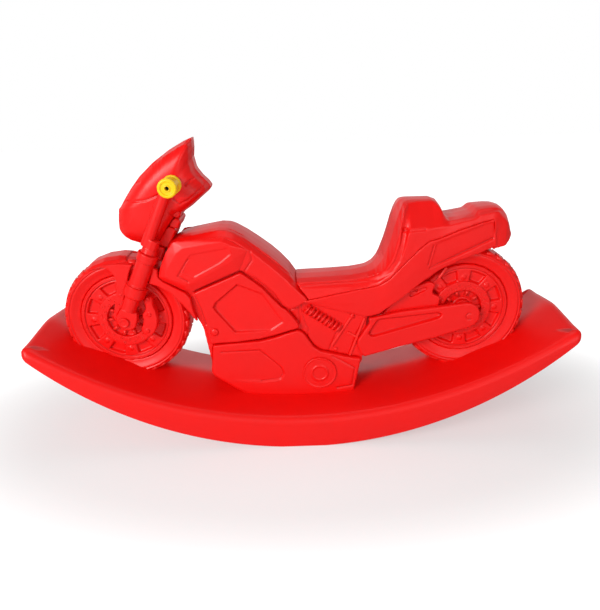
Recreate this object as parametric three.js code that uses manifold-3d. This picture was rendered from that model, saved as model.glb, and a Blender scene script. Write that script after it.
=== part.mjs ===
// Rocking motorcycle for a small child: a moulded motorcycle that stands on a curved rocker board.
// Millimetres, +Z up, +X towards the tail, -Y is the side the child mounts from.
// The board's lowest line lies on z = 0. Outlines are side views, as shares of length and height.
import * as THREE from 'three';
import { mergeVertices } from 'three/addons/utils/BufferGeometryUtils.js';
import Module from 'manifold-3d';

const wasm = await Module();
wasm.setup();

// Overall sizes
const length = 970;
const height = 545;
const clearance = 0.3;
const overrun = 20;
const meshTolerance = 0.04;
const stationSpacing = 3.5;

// Rocker board
const boardWidth = 236;
const rockerRadius = 693;
const restFlat = 80;
const deckRadius = 800;
const ridgeRadius = 850;
const edgeThickness = 55;
const deckCrown = 25;
const boardCorner = 26;
const boardEdgeRound = 13;
const endTuckShare = 0.72;
const boardSoleRound = 7;

// Wheels
const wheelFrontShare = -0.329;
const wheelRearShare = 0.306;
const wheelHeightShare = 0.422;
const tyreRadius = 120;
const tyreHalf = 36;
const tyreDepth = 36;
const sidewallStep = 2.5;
const sidewallBand = 15;
const shoulderRound = 9;
const rimHalf = 31;
const rimLip = 2.5;
const windowDepth = 4;
const spokeCount = 8;
const wheelFacets = 28;
const pegRadius = 4;
const pegHeight = 2;
const discThickness = 3.5;
const hubRadius = 16;
const hubWebDepth = 5;
const axleRadius = 6;
const axleCapRadius = 10;
const axleCapHeight = 4;
const axleCapEdge = 1;

// Front fork and steering head
const gripHeightShare = 0.875;
const gripPlaceShare = -0.207;
const forkOffset = 54;
const legRadius = 13.4;
const lowerLegRadius = 15;
const collarRadius = 17.6;
const collarEdge = 1.2;
const tubeTopRadius = 12.5;
const columnRadius = 10.5;
const columnSet = 8;
const bossRadius = 10;
const bossEnd = 69;
const shoeOuter = 50;
const shoeRound = 4;
const headHalf = 30;
const headRound = 3;
const headBevel = 2;
const upperClampReach = 29;
const headTubeReach = 27;
const lowerClampReach = 22;
const riserReach = 25;
const calliperOuter = 50;
const calliperRound = 3;
const boltHeadRadius = 3.5;
const boltHeadHeight = 2.2;

// Handlebar and grips
const rodRadius = 3.2;
const rodEdge = 0.6;
const rodRecess = 8;
const gripLength = 43;
const gripFlange = 15.7;
const gripBarrel = 14;
const gripFlangeWidth = 6;
const gripBoss = 5;
const gripEdge = 1;

// Body
const blockHalf = 44;
const bellyHalf = 52;
const cowlOuter = 56;
const tankLipHalf = 41;
const tankHalf = 54;
const tankRound = 2;
const scoopOuter = 61;
const strutOuter = 55;
const armOuter = 54;
const guardBevel = 2;
const guardRound = 3;
const seatHalf = 60;
const seatShoulderHalf = 46;
const seatFlankHalf = 55;
const tankCrown = 3;
const fairingHalf = 46;
const fenderRise = 6.5;
const fenderDrop = 7;
const fenderHalf = 41;
const recessDepth = 2;
const fieldDepth = 3.5;
const panelBevel = 2;
const panelRound = 2;
const armRound = 5;
const coverRadius = 32;
const coverHeight = 4;
const plugRadius = 8;
const plugHeight = 4;
const springRadius = 8.5;
const springRibs = 9;
const tubeRadius = 3.2;
const screwHeadRadius = 7;
const screwHeadHeight = 4;
const screwRadius = 3;
const screwDepth = 22;
const screwReach = 16;
const screwSpread = 28;

// Side-view lines, share of length along x and share of height along z
const tankFrontShare = -0.252;
const tankRearShare = 0.014;
const tankTopShares = [[-0.252, 0.598], [-0.230, 0.680], [-0.210, 0.696], [-0.195, 0.703],
  [-0.166, 0.712], [-0.142, 0.719], [-0.127, 0.717], [-0.115, 0.710], [-0.096, 0.690],
  [-0.072, 0.658], [-0.052, 0.630], [-0.035, 0.602], [-0.018, 0.569], [-0.008, 0.540],
  [0.014, 0.489]];
const tankRidgeShares = [[-0.252, 0.594], [-0.230, 0.674], [-0.194, 0.690], [-0.162, 0.697],
  [-0.129, 0.701], [-0.114, 0.691], [-0.082, 0.650], [-0.065, 0.623], [-0.034, 0.572],
  [-0.008, 0.525], [0.014, 0.484]];
const tankSillShares = [[-0.252, 0.584], [-0.247, 0.566], [-0.209, 0.528], [-0.198, 0.527],
  [-0.179, 0.538], [-0.107, 0.592], [-0.079, 0.566], [-0.062, 0.537], [-0.045, 0.506],
  [-0.031, 0.466], [-0.016, 0.450], [0.014, 0.478]];

// Seat lines carry a third share, of the seat's half width
const seatFrontShare = -0.012;
const seatTipShare = 0.392;
const seatMiddleShares = [[-0.012, 0.545], [0.060, 0.548], [0.104, 0.554], [0.126, 0.562],
  [0.140, 0.577], [0.150, 0.600], [0.157, 0.630], [0.163, 0.665], [0.169, 0.704],
  [0.174, 0.741], [0.180, 0.768], [0.188, 0.785], [0.196, 0.790], [0.243, 0.790],
  [0.251, 0.784], [0.258, 0.766], [0.265, 0.740], [0.271, 0.730], [0.312, 0.741],
  [0.316, 0.756], [0.324, 0.761], [0.354, 0.766], [0.366, 0.760], [0.378, 0.740],
  [0.388, 0.705], [0.392, 0.672]];
const seatLipShares = [[-0.012, 0.536, 0.70], [0.060, 0.539, 0.70], [0.102, 0.542, 0.72],
  [0.127, 0.547, 0.77], [0.144, 0.557, 0.83], [0.155, 0.574, 0.90], [0.163, 0.595, 0.93],
  [0.170, 0.625, 0.95], [0.175, 0.660, 0.95], [0.180, 0.702, 0.95], [0.184, 0.739, 0.91],
  [0.188, 0.766, 0.75], [0.193, 0.779, 0.60], [0.201, 0.785, 0.43], [0.241, 0.785, 0.40],
  [0.248, 0.779, 0.47], [0.256, 0.759, 0.60], [0.263, 0.734, 0.67], [0.269, 0.725, 0.70],
  [0.313, 0.737, 0.70], [0.318, 0.752, 0.62], [0.326, 0.756, 0.56], [0.354, 0.760, 0.50],
  [0.366, 0.753, 0.47], [0.378, 0.732, 0.42], [0.388, 0.698, 0.36], [0.392, 0.668, 0.30]];
const seatRidgeShares = [[-0.012, 0.520, 0.84], [0.102, 0.523, 0.86], [0.129, 0.528, 0.91],
  [0.146, 0.536, 0.96], [0.164, 0.556, 0.99], [0.176, 0.586, 1], [0.184, 0.612, 1],
  [0.190, 0.661, 1], [0.196, 0.705, 1], [0.232, 0.708, 0.94], [0.268, 0.714, 0.86],
  [0.321, 0.735, 0.81], [0.354, 0.746, 0.74], [0.378, 0.712, 0.62], [0.392, 0.662, 0.44]];
const creaseShares = [[-0.012, 0.473, 0.93], [0.017, 0.483, 0.93], [0.101, 0.512, 0.93],
  [0.128, 0.520, 0.95], [0.146, 0.528, 0.97], [0.164, 0.549, 1], [0.181, 0.581, 1],
  [0.198, 0.613, 1], [0.216, 0.644, 0.98], [0.233, 0.668, 0.95], [0.251, 0.675, 0.92],
  [0.286, 0.698, 0.88], [0.321, 0.717, 0.84], [0.347, 0.728, 0.80], [0.357, 0.646, 0.76],
  [0.378, 0.638, 0.66], [0.392, 0.652, 0.46]];
const shoulderShares = [0.766, 0.739];
const cowlFrontShare = 0.005;
const cowlRearShare = 0.357;
const cowlSoleShares = [[0.005, 0.475], [0.064, 0.444], [0.110, 0.422], [0.129, 0.418],
  [0.144, 0.424], [0.158, 0.444], [0.184, 0.478], [0.220, 0.529], [0.256, 0.572],
  [0.291, 0.599], [0.327, 0.620], [0.343, 0.631], [0.357, 0.640]];
const tailFieldShares = [[0.244, 0.660], [0.340, 0.722], [0.352, 0.715], [0.352, 0.664],
  [0.300, 0.622], [0.262, 0.596], [0.234, 0.580]];

// Side panels; the scoop has a foot outline and a smaller face outline
const scoopFootShares = [[-0.254, 0.579], [-0.248, 0.616], [-0.236, 0.661], [-0.221, 0.694],
  [-0.190, 0.699], [-0.130, 0.703], [-0.114, 0.688], [-0.089, 0.659], [-0.106, 0.592],
  [-0.196, 0.525], [-0.206, 0.529], [-0.246, 0.565]];
const scoopFaceShares = [[-0.240, 0.582], [-0.235, 0.606], [-0.217, 0.655], [-0.202, 0.674],
  [-0.133, 0.691], [-0.119, 0.677], [-0.120, 0.625], [-0.197, 0.556], [-0.208, 0.555]];
const sidePanelShares = [[-0.105, 0.585], [-0.089, 0.563], [-0.068, 0.532], [-0.051, 0.496],
  [-0.033, 0.460], [-0.026, 0.453], [-0.014, 0.427], [-0.003, 0.398], [-0.003, 0.385],
  [-0.039, 0.367], [-0.077, 0.350], [-0.123, 0.341], [-0.172, 0.337], [-0.178, 0.398],
  [-0.182, 0.434], [-0.188, 0.470], [-0.196, 0.519]];
const sideFieldShares = [[-0.113, 0.546], [-0.156, 0.485], [-0.160, 0.468], [-0.155, 0.452],
  [-0.123, 0.377], [-0.056, 0.380], [-0.031, 0.410], [-0.068, 0.512]];
const bellyShares = [[-0.168, 0.328], [-0.125, 0.334], [-0.077, 0.339], [-0.049, 0.350],
  [-0.021, 0.367], [-0.004, 0.374], [0.006, 0.362], [0.013, 0.342], [0.024, 0.311],
  [0.037, 0.294], [0.051, 0.288], [0.093, 0.268], [0.114, 0.262], [0.111, 0.231],
  [0.098, 0.120], [-0.090, 0.120], [-0.128, 0.158], [-0.170, 0.212], [-0.175, 0.228]];
const bellyFieldShares = [[-0.153, 0.303], [-0.079, 0.305], [-0.040, 0.237], [-0.036, 0.213],
  [-0.043, 0.195], [-0.079, 0.187], [-0.140, 0.196]];
const blockShares = [[-0.235, 0.600], [-0.100, 0.640], [0.000, 0.560], [0.060, 0.470],
  [0.128, 0.440], [0.116, 0.240], [-0.172, 0.240], [-0.184, 0.390], [-0.205, 0.470]];
const strutShares = [[-0.262, 0.612], [-0.254, 0.602], [-0.254, 0.576], [-0.246, 0.562],
  [-0.208, 0.521], [-0.200, 0.502], [-0.197, 0.462], [-0.191, 0.420], [-0.195, 0.424],
  [-0.205, 0.452], [-0.218, 0.485], [-0.236, 0.521], [-0.256, 0.546], [-0.273, 0.557]];
const armShares = [[0.124, 0.409], [0.185, 0.431], [0.259, 0.444], [0.313, 0.455],
  [0.325, 0.448], [0.333, 0.431], [0.336, 0.407], [0.333, 0.386], [0.325, 0.371], [0.262, 0.336],
  [0.188, 0.303], [0.116, 0.268], [0.104, 0.323], [0.131, 0.398]];
const armSlotShares = [[0.144, 0.406], [0.258, 0.424], [0.265, 0.415], [0.260, 0.403],
  [0.134, 0.341], [0.126, 0.354]];
const guardShares = [[0.150, 0.410], [0.160, 0.431], [0.186, 0.486], [0.206, 0.505],
  [0.237, 0.527], [0.252, 0.517], [0.245, 0.486], [0.262, 0.470], [0.258, 0.430]];
const guardSlotShares = [[0.203, 0.487], [0.234, 0.511], [0.237, 0.499], [0.205, 0.472]];
const calliperShares = [[-0.285, 0.466], [-0.288, 0.498], [-0.279, 0.514], [-0.271, 0.506],
  [-0.272, 0.478], [-0.267, 0.453], [-0.266, 0.424], [-0.271, 0.392], [-0.282, 0.367],
  [-0.290, 0.366], [-0.300, 0.390], [-0.293, 0.422], [-0.294, 0.448]];
const calliperBoltShares = [[-0.280, 0.448], [-0.287, 0.389], [-0.279, 0.503]];
const springShares = { start: [0.010, 0.452], end: [0.072, 0.372] };
const linkShares = { start: [0.0985, 0.420], end: [0.058, 0.306] };
const coverShares = [0.034, 0.215];
const plugShares = [-0.161, 0.382];
const screwShares = [-0.085, 0.070];

// Windscreen and nose: side outline, and how its rings narrow towards each side
const fairingShares = [[-0.178, 1], [-0.192, 0.990], [-0.220, 0.964], [-0.248, 0.929],
  [-0.273, 0.890], [-0.290, 0.855], [-0.303, 0.824], [-0.312, 0.800], [-0.317, 0.790],
  [-0.320, 0.757], [-0.321, 0.726], [-0.318, 0.713], [-0.312, 0.699], [-0.303, 0.688],
  [-0.287, 0.678], [-0.268, 0.672], [-0.250, 0.680], [-0.234, 0.720], [-0.217, 0.758],
  [-0.188, 0.790], [-0.154, 0.839], [-0.151, 0.850], [-0.156, 0.864], [-0.166, 0.882],
  [-0.176, 0.907], [-0.180, 0.943], [-0.178, 0.966]];
const fairingHeartShares = [-0.238, 0.816];
const fairingRings = { widthShares: [0.48, 0.62, 0.85, 1], scaleShares: [1, 0.96, 0.76, 0.42] };

// Shares of the rim's radius, from the hub outwards, and of the tyre's radius from the front hub
const rimShares = { discInner: 0.417, discOuter: 0.62, windowInner: 0.63, peg: 0.71,
  windowOuter: 0.857, lipInner: 0.9, lipOuter: 0.985 };
const fenderWebShares = [[-0.530, 0.850], [-0.300, 0.880], [-0.140, 0.815], [-0.090, 0.749],
  [-0.052, 0.654], [-0.060, 0.500], [-0.105, 0.341], [-0.178, 0.050], [-0.113, -0.082],
  [0.024, 0.336], [0.160, 0.760], [0.242, 0.930], [0.130, 0.990], [0.075, 1.150],
  [-0.100, 1.200], [-0.400, 1.130]];

// Helpers for solids
function solidOf(geometry) {
  geometry.deleteAttribute('normal');
  geometry.deleteAttribute('uv');
  const merged = mergeVertices(geometry, 1e-5);
  const position = merged.getAttribute('position').array;
  const index = merged.getIndex().array;
  const mesh = new wasm.Mesh({
    numProp: 3,
    vertProperties: new Float32Array(position),
    triVerts: new Uint32Array(index),
  });
  return new wasm.Manifold(mesh);
}

function union(solids) {
  return solids.reduce((whole, next) => whole.add(next));
}

// Takes other pieces away with the touching clearance kept round their side outlines and, where it
// is asked for, beside their faces
function clearOf(solid, others, beside = 0) {
  let left = solid;
  for (const other of others) {
    left = left.subtract(other);
    for (const dy of beside > 0 ? [-beside, beside] : []) left = left.subtract(other.translate([0, dy, 0]));
    for (const dx of [-clearance, clearance]) {
      for (const dz of [-clearance, clearance]) left = left.subtract(other.translate([dx, 0, dz]));
    }
  }
  return largestOf(left);
}

// Slivers that a cut leaves loose are dropped
function largestOf(solid) {
  const bodies = solid.decompose();
  return bodies.reduce((best, body) => (body.volume() > best.volume() ? body : best));
}

function mirrored(solid) {
  return solid.mirror([0, 1, 0]);
}

function sized(shares) {
  return shares.map(([x, z]) => [x * length, z * height]);
}

function sidePoint([x, z]) {
  return [x * length, z * height];
}

// A closed side outline whose corners are rounded by curves
function roundedShape(points, radius) {
  const corners = points.map((point) => new THREE.Vector2(point[0], point[1]));
  const shape = new THREE.Shape();
  corners.forEach((corner, i) => {
    const before = corners[(i + corners.length - 1) % corners.length];
    const after = corners[(i + 1) % corners.length];
    const reachIn = Math.min(radius, corner.distanceTo(before) / 2.2);
    const reachOut = Math.min(radius, corner.distanceTo(after) / 2.2);
    const start = corner.clone().lerp(before, reachIn / corner.distanceTo(before));
    const end = corner.clone().lerp(after, reachOut / corner.distanceTo(after));
    if (i === 0) shape.moveTo(start.x, start.y);
    else shape.lineTo(start.x, start.y);
    shape.quadraticCurveTo(corner.x, corner.y, end.x, end.y);
  });
  shape.closePath();
  return shape;
}

// A slab between two distances from the middle plane, bevelled on both faces
function slab(points, inner, outer, bevel = 0, radius = 0, steps = 1) {
  const shape = radius > 0 ? roundedShape(points, radius)
    : new THREE.Shape(points.map((point) => new THREE.Vector2(point[0], point[1])));
  for (const share of bevel > 0 ? bevelTries : [0]) {
    try {
      return slabOf(shape, inner, outer, bevel * share, steps);
    } catch (error) {
      if (share === 0) throw error;
    }
  }
  throw new Error('no bevel closes this outline');
}

// A bevel too wide for an outline's tightest corner is narrowed by these shares
const bevelTries = [1, 0.8, 0.6, 0.4, 0.2, 0];

function slabOf(shape, inner, outer, bevel, steps) {
  const geometry = new THREE.ExtrudeGeometry(shape, {
    depth: outer - inner - 2 * bevel,
    bevelEnabled: bevel > 0,
    bevelThickness: bevel,
    bevelSize: bevel,
    bevelOffset: -bevel,
    bevelSegments: 1,
    curveSegments: steps,
  });
  geometry.translate(0, 0, bevel);
  geometry.rotateX(Math.PI / 2);
  geometry.translate(0, -inner, 0);
  return solidOf(geometry);
}

// A slab bevelled only on the face that shows, on the mounting side
function panel(points, inner, outer, bevel, radius) {
  const thick = slab(points, inner - 2 * bevel, outer, bevel, radius);
  return thick.trimByPlane([0, -1, 0], inner);
}

// A body turned about an axis that runs across the machine
function turned(profile, place, segments) {
  const points = profile.map(([radius, y]) => new THREE.Vector2(radius, y));
  const geometry = new THREE.LatheGeometry(points, segments);
  geometry.translate(place[0], 0, place[1]);
  return solidOf(geometry);
}

// The convex body round points given as side-view outlines, each with its distance from the middle
function faceted(outlines) {
  const points = outlines.flatMap(({ shares, half }) => sized(shares).map(([x, z]) => [x, -half, z]));
  return wasm.Manifold.hull(points);
}

// The cut for a sunken field whose floor rises to the panel's face on the side named by its shares
function slopedField(shares, outer, risesAt) {
  const floor = sized(shares).map(([x, z], i) => [x, risesAt(shares[i]) - outer, z]);
  const above = sized(shares).map(([x, z]) => [x, -outer - overrun, z]);
  return wasm.Manifold.hull([...floor, ...above]);
}

// Joins rings of equal count into one closed skin with fan ends
function loft(rings) {
  const count = rings[0].length;
  const vertices = rings.flat(2);
  const faces = [];
  for (let r = 0; r < rings.length - 1; r += 1) {
    for (let i = 0; i < count; i += 1) {
      const a = r * count + i;
      const b = r * count + ((i + 1) % count);
      faces.push(a, b, b + count, a, b + count, a + count);
    }
  }
  for (const end of [0, rings.length - 1]) {
    const ring = rings[end];
    const centre = [0, 1, 2].map((axis) => ring.reduce((sum, point) => sum + point[axis], 0) / count);
    const hub = vertices.length / 3;
    vertices.push(...centre);
    for (let i = 0; i < count; i += 1) {
      const a = end * count + i;
      const b = end * count + ((i + 1) % count);
      if (end === 0) faces.push(b, a, hub);
      else faces.push(a, b, hub);
    }
  }
  const geometry = new THREE.BufferGeometry();
  geometry.setAttribute('position', new THREE.Float32BufferAttribute(vertices, 3));
  geometry.setIndex(facingOut(vertices, faces));
  return solidOf(geometry);
}

function facingOut(vertices, faces) {
  let volume = 0;
  const corner = (i) => new THREE.Vector3().fromArray(vertices, faces[i] * 3);
  for (let i = 0; i < faces.length; i += 3) {
    volume += corner(i).dot(corner(i + 1).cross(corner(i + 2)));
  }
  if (volume > 0) return faces;
  const turnedFaces = [];
  for (let i = 0; i < faces.length; i += 3) turnedFaces.push(faces[i], faces[i + 2], faces[i + 1]);
  return turnedFaces;
}

// Height of a side-view line at x, straight between its points
function lineAt(shares, x) {
  return valueAt(shares, x, 1) * height;
}

// Half width that goes with a seat line at x
function widthAt(shares, x) {
  return valueAt(shares, x, 2) * seatHalf;
}

function valueAt(rows, x, column) {
  const place = x / length;
  if (place <= rows[0][0]) return rows[0][column];
  for (let i = 1; i < rows.length; i += 1) {
    if (place <= rows[i][0]) {
      const t = (place - rows[i - 1][0]) / (rows[i][0] - rows[i - 1][0]);
      return THREE.MathUtils.lerp(rows[i - 1][column], rows[i][column], t);
    }
  }
  return rows[rows.length - 1][column];
}

// A cross-section from its right half, listed from the top middle to the bottom middle
function fullSection(x, half) {
  const left = half.slice(1, -1).reverse().map(([y, z]) => [x, -y, z]);
  return [...half.map(([y, z]) => [x, y, z]), ...left];
}

// Stations between two ends at the lines' points, those of the first line before the others
function stations(lines, from, to) {
  const places = [from, to];
  for (const [x] of lines.flat()) {
    const free = places.every((place) => Math.abs(place - x) * length > stationSpacing);
    if (x > from && x < to && free) places.push(x);
  }
  return places.sort((p, q) => p - q).map((x) => x * length);
}

// Rocker board, a lofted plank with a crowned deck
function archHeight(x, radius) {
  return radius - Math.sqrt(radius * radius - x * x);
}

function boardSection(x, halfWidth, shrink) {
  const flatRise = archHeight(restFlat / 2, rockerRadius);
  const sole = Math.max(0, archHeight(x, rockerRadius) - flatRise) + shrink;
  const edge = edgeThickness + archHeight(x, deckRadius) - shrink;
  const ridge = edgeThickness + deckCrown + archHeight(x, ridgeRadius) - shrink;
  const slope = (ridge - edge) / (boardWidth / 2);
  const deckAt = (y) => ridge - slope * y;
  const thick = deckAt(halfWidth) - sole;
  const round = Math.min(boardEdgeRound, thick / 2.2);
  const soleRound = Math.min(boardSoleRound, round * 0.6);
  const rim = halfWidth - round;
  return fullSection(x, [
    [0, ridge],
    [rim, deckAt(rim)],
    [halfWidth - round * 0.3, deckAt(halfWidth) - round * 0.25],
    [halfWidth, deckAt(halfWidth) - round],
    [halfWidth, sole + soleRound],
    [halfWidth - soleRound, sole],
    [0, sole],
  ]);
}

// Rings close together round the ends, where the plan corners and the edge both turn in
function boardRings() {
  const rings = [];
  const straight = length / 2 - boardCorner;
  const bays = 6;
  const turns = 4;
  const flat = restFlat / 2;
  for (let i = turns; i > 0; i -= 1) {
    const angle = (i / turns) * (Math.PI / 2);
    const x = straight + boardCorner * Math.sin(angle);
    const into = Math.max(0, x - (length / 2 - boardEdgeRound)) / boardEdgeRound;
    const shrink = boardEdgeRound * endTuckShare * (1 - Math.sqrt(1 - into * into));
    rings.push([x, boardWidth / 2 - boardCorner * (1 - Math.cos(angle)), shrink]);
  }
  for (let i = 0; i <= bays; i += 1) {
    rings.push([THREE.MathUtils.lerp(straight, flat, i / bays), boardWidth / 2, 0]);
  }
  const rear = rings.map(([x, half, shrink]) => boardSection(x, half, shrink));
  const front = rings.map(([x, half, shrink]) => boardSection(-x, half, shrink));
  return [...rear, ...front.reverse()];
}

const rimRadius = tyreRadius - tyreDepth;
const frontHub = [wheelFrontShare * length, wheelHeightShare * height];
const rearHub = [wheelRearShare * length, wheelHeightShare * height];

// A turned body with the same profile on both sides of the middle
function mirroredProfile(half, hub, facets) {
  const profile = [...half.map(([r, y]) => [r, -y]), ...half.slice().reverse()];
  return turned([...profile, profile[0]], hub, facets);
}

function wheelSpace(hub) {
  const radius = tyreRadius + clearance;
  const half = tyreHalf + clearance;
  return turned([[0, -half], [radius, -half], [radius, half], [0, half]], hub, 48);
}

// Wheels: cast rim with sunken windows and pegs, and a round-shouldered tyre
function tyre(hub) {
  const side = tyreHalf;
  const seat = rimRadius + clearance;
  const band = seat + sidewallBand;
  const half = [
    [seat, side - sidewallStep],
    [band, side],
    [tyreRadius - shoulderRound, side],
    [tyreRadius - shoulderRound * 0.33, side - shoulderRound * 0.67],
    [tyreRadius, side / 3],
  ];
  return mirroredProfile(half, hub, wheelFacets);
}

function rim(hub) {
  const at = (share) => rimRadius * share;
  const web = rimHalf - hubWebDepth;
  const bore = axleRadius + clearance;
  const well = at(rimShares.discInner);
  const ring = [[well, web], [well, rimHalf], [at(rimShares.lipInner), rimHalf],
    [at(rimShares.lipInner) + rimLip, rimHalf + rimLip], [at(rimShares.lipOuter), rimHalf + rimLip],
    [rimRadius, rimHalf]];
  const centre = [[bore, tyreHalf], [hubRadius, tyreHalf], [hubRadius, web], [well + windowDepth, web]];
  let wheel = mirroredProfile(ring, hub, wheelFacets).add(mirroredProfile(centre, hub, 14));
  const pitch = (2 * Math.PI) / spokeCount;
  for (let i = 0; i < spokeCount; i += 1) {
    const window = windowCut(hub, pitch * (i + 0.5), pitch * 0.27);
    wheel = wheel.subtract(window).subtract(mirrored(window));
    const peg = pegAt(hub, pitch * i);
    wheel = wheel.add(peg).add(mirrored(peg));
  }
  return wheel;
}

function windowCut(hub, angle, halfAngle) {
  const corners = [];
  const inner = rimRadius * rimShares.windowInner;
  const outer = rimRadius * rimShares.windowOuter;
  for (const [radius, turn] of [[inner, -0.85 * halfAngle], [outer, -halfAngle],
    [outer, halfAngle], [inner, 0.85 * halfAngle]]) {
    corners.push([hub[0] + radius * Math.cos(angle + turn), hub[1] + radius * Math.sin(angle + turn)]);
  }
  return slab(corners, rimHalf - windowDepth, rimHalf + overrun);
}

function pegAt(hub, angle) {
  const radius = rimRadius * rimShares.peg;
  const place = [hub[0] + radius * Math.cos(angle), hub[1] + radius * Math.sin(angle)];
  const top = rimHalf + pegHeight;
  const foot = rimHalf - pegHeight / 2;
  return turned([[0, -top], [pegRadius, -top], [pegRadius, -foot], [0, -foot]], place, 6);
}

function brakeDisc(hub) {
  const inner = rimHalf + clearance;
  const outer = inner + discThickness;
  const bore = rimRadius * rimShares.discInner;
  const edge = rimRadius * rimShares.discOuter;
  return turned([[bore, -inner], [bore, -outer], [edge, -outer], [edge, -inner], [bore, -inner]], hub, 20);
}

// Fork frame: distance up the steering slope from the front hub, and distance behind it
const gripPlace = [gripPlaceShare * length, gripHeightShare * height];
const forkRun = gripPlace[0] - frontHub[0];
const forkRise = gripPlace[1] - frontHub[1];
const forkLength = Math.hypot(forkRun, forkRise);
const slopeX = forkRun / forkLength;
const slopeZ = forkRise / forkLength;

function forkPoint([along, behind]) {
  return [
    frontHub[0] + along * slopeX + behind * slopeZ,
    frontHub[1] + along * slopeZ - behind * slopeX,
  ];
}

// Shares of the way from the front hub to the handlebar
const shoeShare = 0.104;
const legSteps = [
  { fromShare: 0.106, toShare: 0.21, radius: lowerLegRadius },
  { fromShare: 0.21, toShare: 0.288, radius: collarRadius },
  { fromShare: 0.288, toShare: 0.468, radius: legRadius },
  { fromShare: 0.468, toShare: 0.522, radius: collarRadius },
  { fromShare: 0.522, toShare: 0.62, radius: tubeTopRadius },
];
const columnShares = { from: 0.56, to: 0.975 };
const lowerClampShares = { from: 0.475, to: 0.566 };
const headTubeShares = { from: 0.568, to: 0.708 };
const upperClampShares = { from: 0.71, to: 0.775 };
const riserShares = { from: 0.777, to: 0.9 };

// A stepped bar up the steering slope, set behind the hub line by an amount
function slopedBar(profile, behind, facets) {
  const geometry = new THREE.LatheGeometry(profile.map(([r, s]) => new THREE.Vector2(r, s)), facets);
  geometry.rotateX(Math.PI / 2);
  geometry.rotateY(Math.atan2(slopeX, slopeZ));
  geometry.translate(frontHub[0] + behind * slopeZ, -forkOffset, frontHub[1] - behind * slopeX);
  return solidOf(geometry);
}

function forkLeg() {
  const profile = [[0, legSteps[0].fromShare * forkLength]];
  for (const step of legSteps) {
    const from = step.fromShare * forkLength;
    const to = step.toShare * forkLength;
    if (step.radius === collarRadius) {
      profile.push([collarRadius - collarEdge, from], [collarRadius, from + collarEdge]);
      profile.push([collarRadius, to - collarEdge], [collarRadius - collarEdge, to]);
    } else {
      profile.push([step.radius, from], [step.radius, to]);
    }
  }
  profile.push([0, forkLength * legSteps[legSteps.length - 1].toShare]);
  const foot = columnShares.from * forkLength;
  const top = columnShares.to * forkLength;
  const column = slopedBar([[0, foot], [columnRadius, foot], [columnRadius, top], [0, top]], -columnSet, 12);
  const boss = turned([[0, -bossEnd], [bossRadius, -bossEnd], [bossRadius, -blockHalf], [0, -blockHalf]],
    gripPlace, 10);
  return union([slopedBar(profile, 0, 10), column, boss]).subtract(rodSpace());
}

function rodSpace() {
  const across = forkOffset + gripLength * 2;
  const bore = rodRadius + clearance;
  return turned([[0, -across], [bore, -across], [bore, across], [0, across]], gripPlace, 12);
}

function forkShoe() {
  const s = shoeShare * forkLength;
  const outline = [[s, -legRadius], [s, lowerLegRadius], [s * 0.45, lowerLegRadius * 1.4],
    [-s * 0.22, lowerLegRadius * 1.45], [-s * 0.55, lowerLegRadius * 0.5], [-s * 0.42, -lowerLegRadius * 0.5],
    [0, -lowerLegRadius * 1.15]].map(forkPoint);
  const shoe = panel(outline, tyreHalf + clearance, shoeOuter, panelBevel, shoeRound);
  return shoe.subtract(axleSpace(frontHub));
}

function axleSpace(hub) {
  const across = shoeOuter + overrun;
  const bore = axleRadius + clearance;
  return turned([[0, -across], [bore, -across], [bore, across], [0, across]], hub, 16);
}

function cappedAxle(hub) {
  const face = shoeOuter + clearance;
  const end = face + axleCapHeight;
  const half = [
    [0, end - axleCapEdge],
    [axleCapRadius * 0.55, end - axleCapEdge],
    [axleCapRadius * 0.65, end],
    [axleCapRadius - axleCapEdge, end],
    [axleCapRadius, end - axleCapEdge],
    [axleCapRadius, face],
    [axleRadius, face],
  ];
  return turned([...half.map(([r, y]) => [r, -y]), ...half.slice().reverse()], hub, 12);
}

function plainAxle(hub, end, spare = 0) {
  const radius = axleRadius + spare;
  const tip = end + spare;
  return turned([[0, -tip], [radius, -tip], [radius, tip], [0, tip]], hub, 16);
}

// Steering head, three blocks on the fork's back
function headBlock(shares, reach, half) {
  const from = shares.from * forkLength;
  const to = shares.to * forkLength;
  const outline = [[from, 0], [to, 0], [to, reach], [from, reach]].map(forkPoint);
  return slab(outline, -half, half, headBevel, headRound);
}

// Handlebar rod and its turning grips
const gripStart = bossEnd + clearance;

function rod() {
  const end = gripStart + gripLength - rodRecess;
  const tip = rodRadius - rodEdge;
  return turned([[0, -end], [tip, -end], [rodRadius, -end + rodEdge],
    [rodRadius, end - rodEdge], [tip, end], [0, end]], gripPlace, 12);
}

function grip() {
  const end = gripStart + gripLength;
  const rise = gripFlange - gripBarrel;
  const bore = rodRadius + clearance;
  const dish = end - gripEdge * 2;
  const profile = [
    [bore, gripStart], [gripFlange - gripEdge, gripStart], [gripFlange, gripStart + gripEdge],
    [gripFlange, gripStart + gripFlangeWidth], [gripBarrel, gripStart + gripFlangeWidth + rise],
    [gripBarrel, end - gripFlangeWidth - rise], [gripFlange, end - gripFlangeWidth],
    [gripFlange, dish], [gripFlange - gripEdge * 2, end],
    [gripFlange * 0.7, end], [gripFlange * 0.66, dish],
    [gripBoss, dish], [gripBoss, end], [bore, end], [bore, gripStart],
  ];
  return turned(profile.map(([r, y]) => [r, -y]).reverse(), gripPlace, 14);
}

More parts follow.
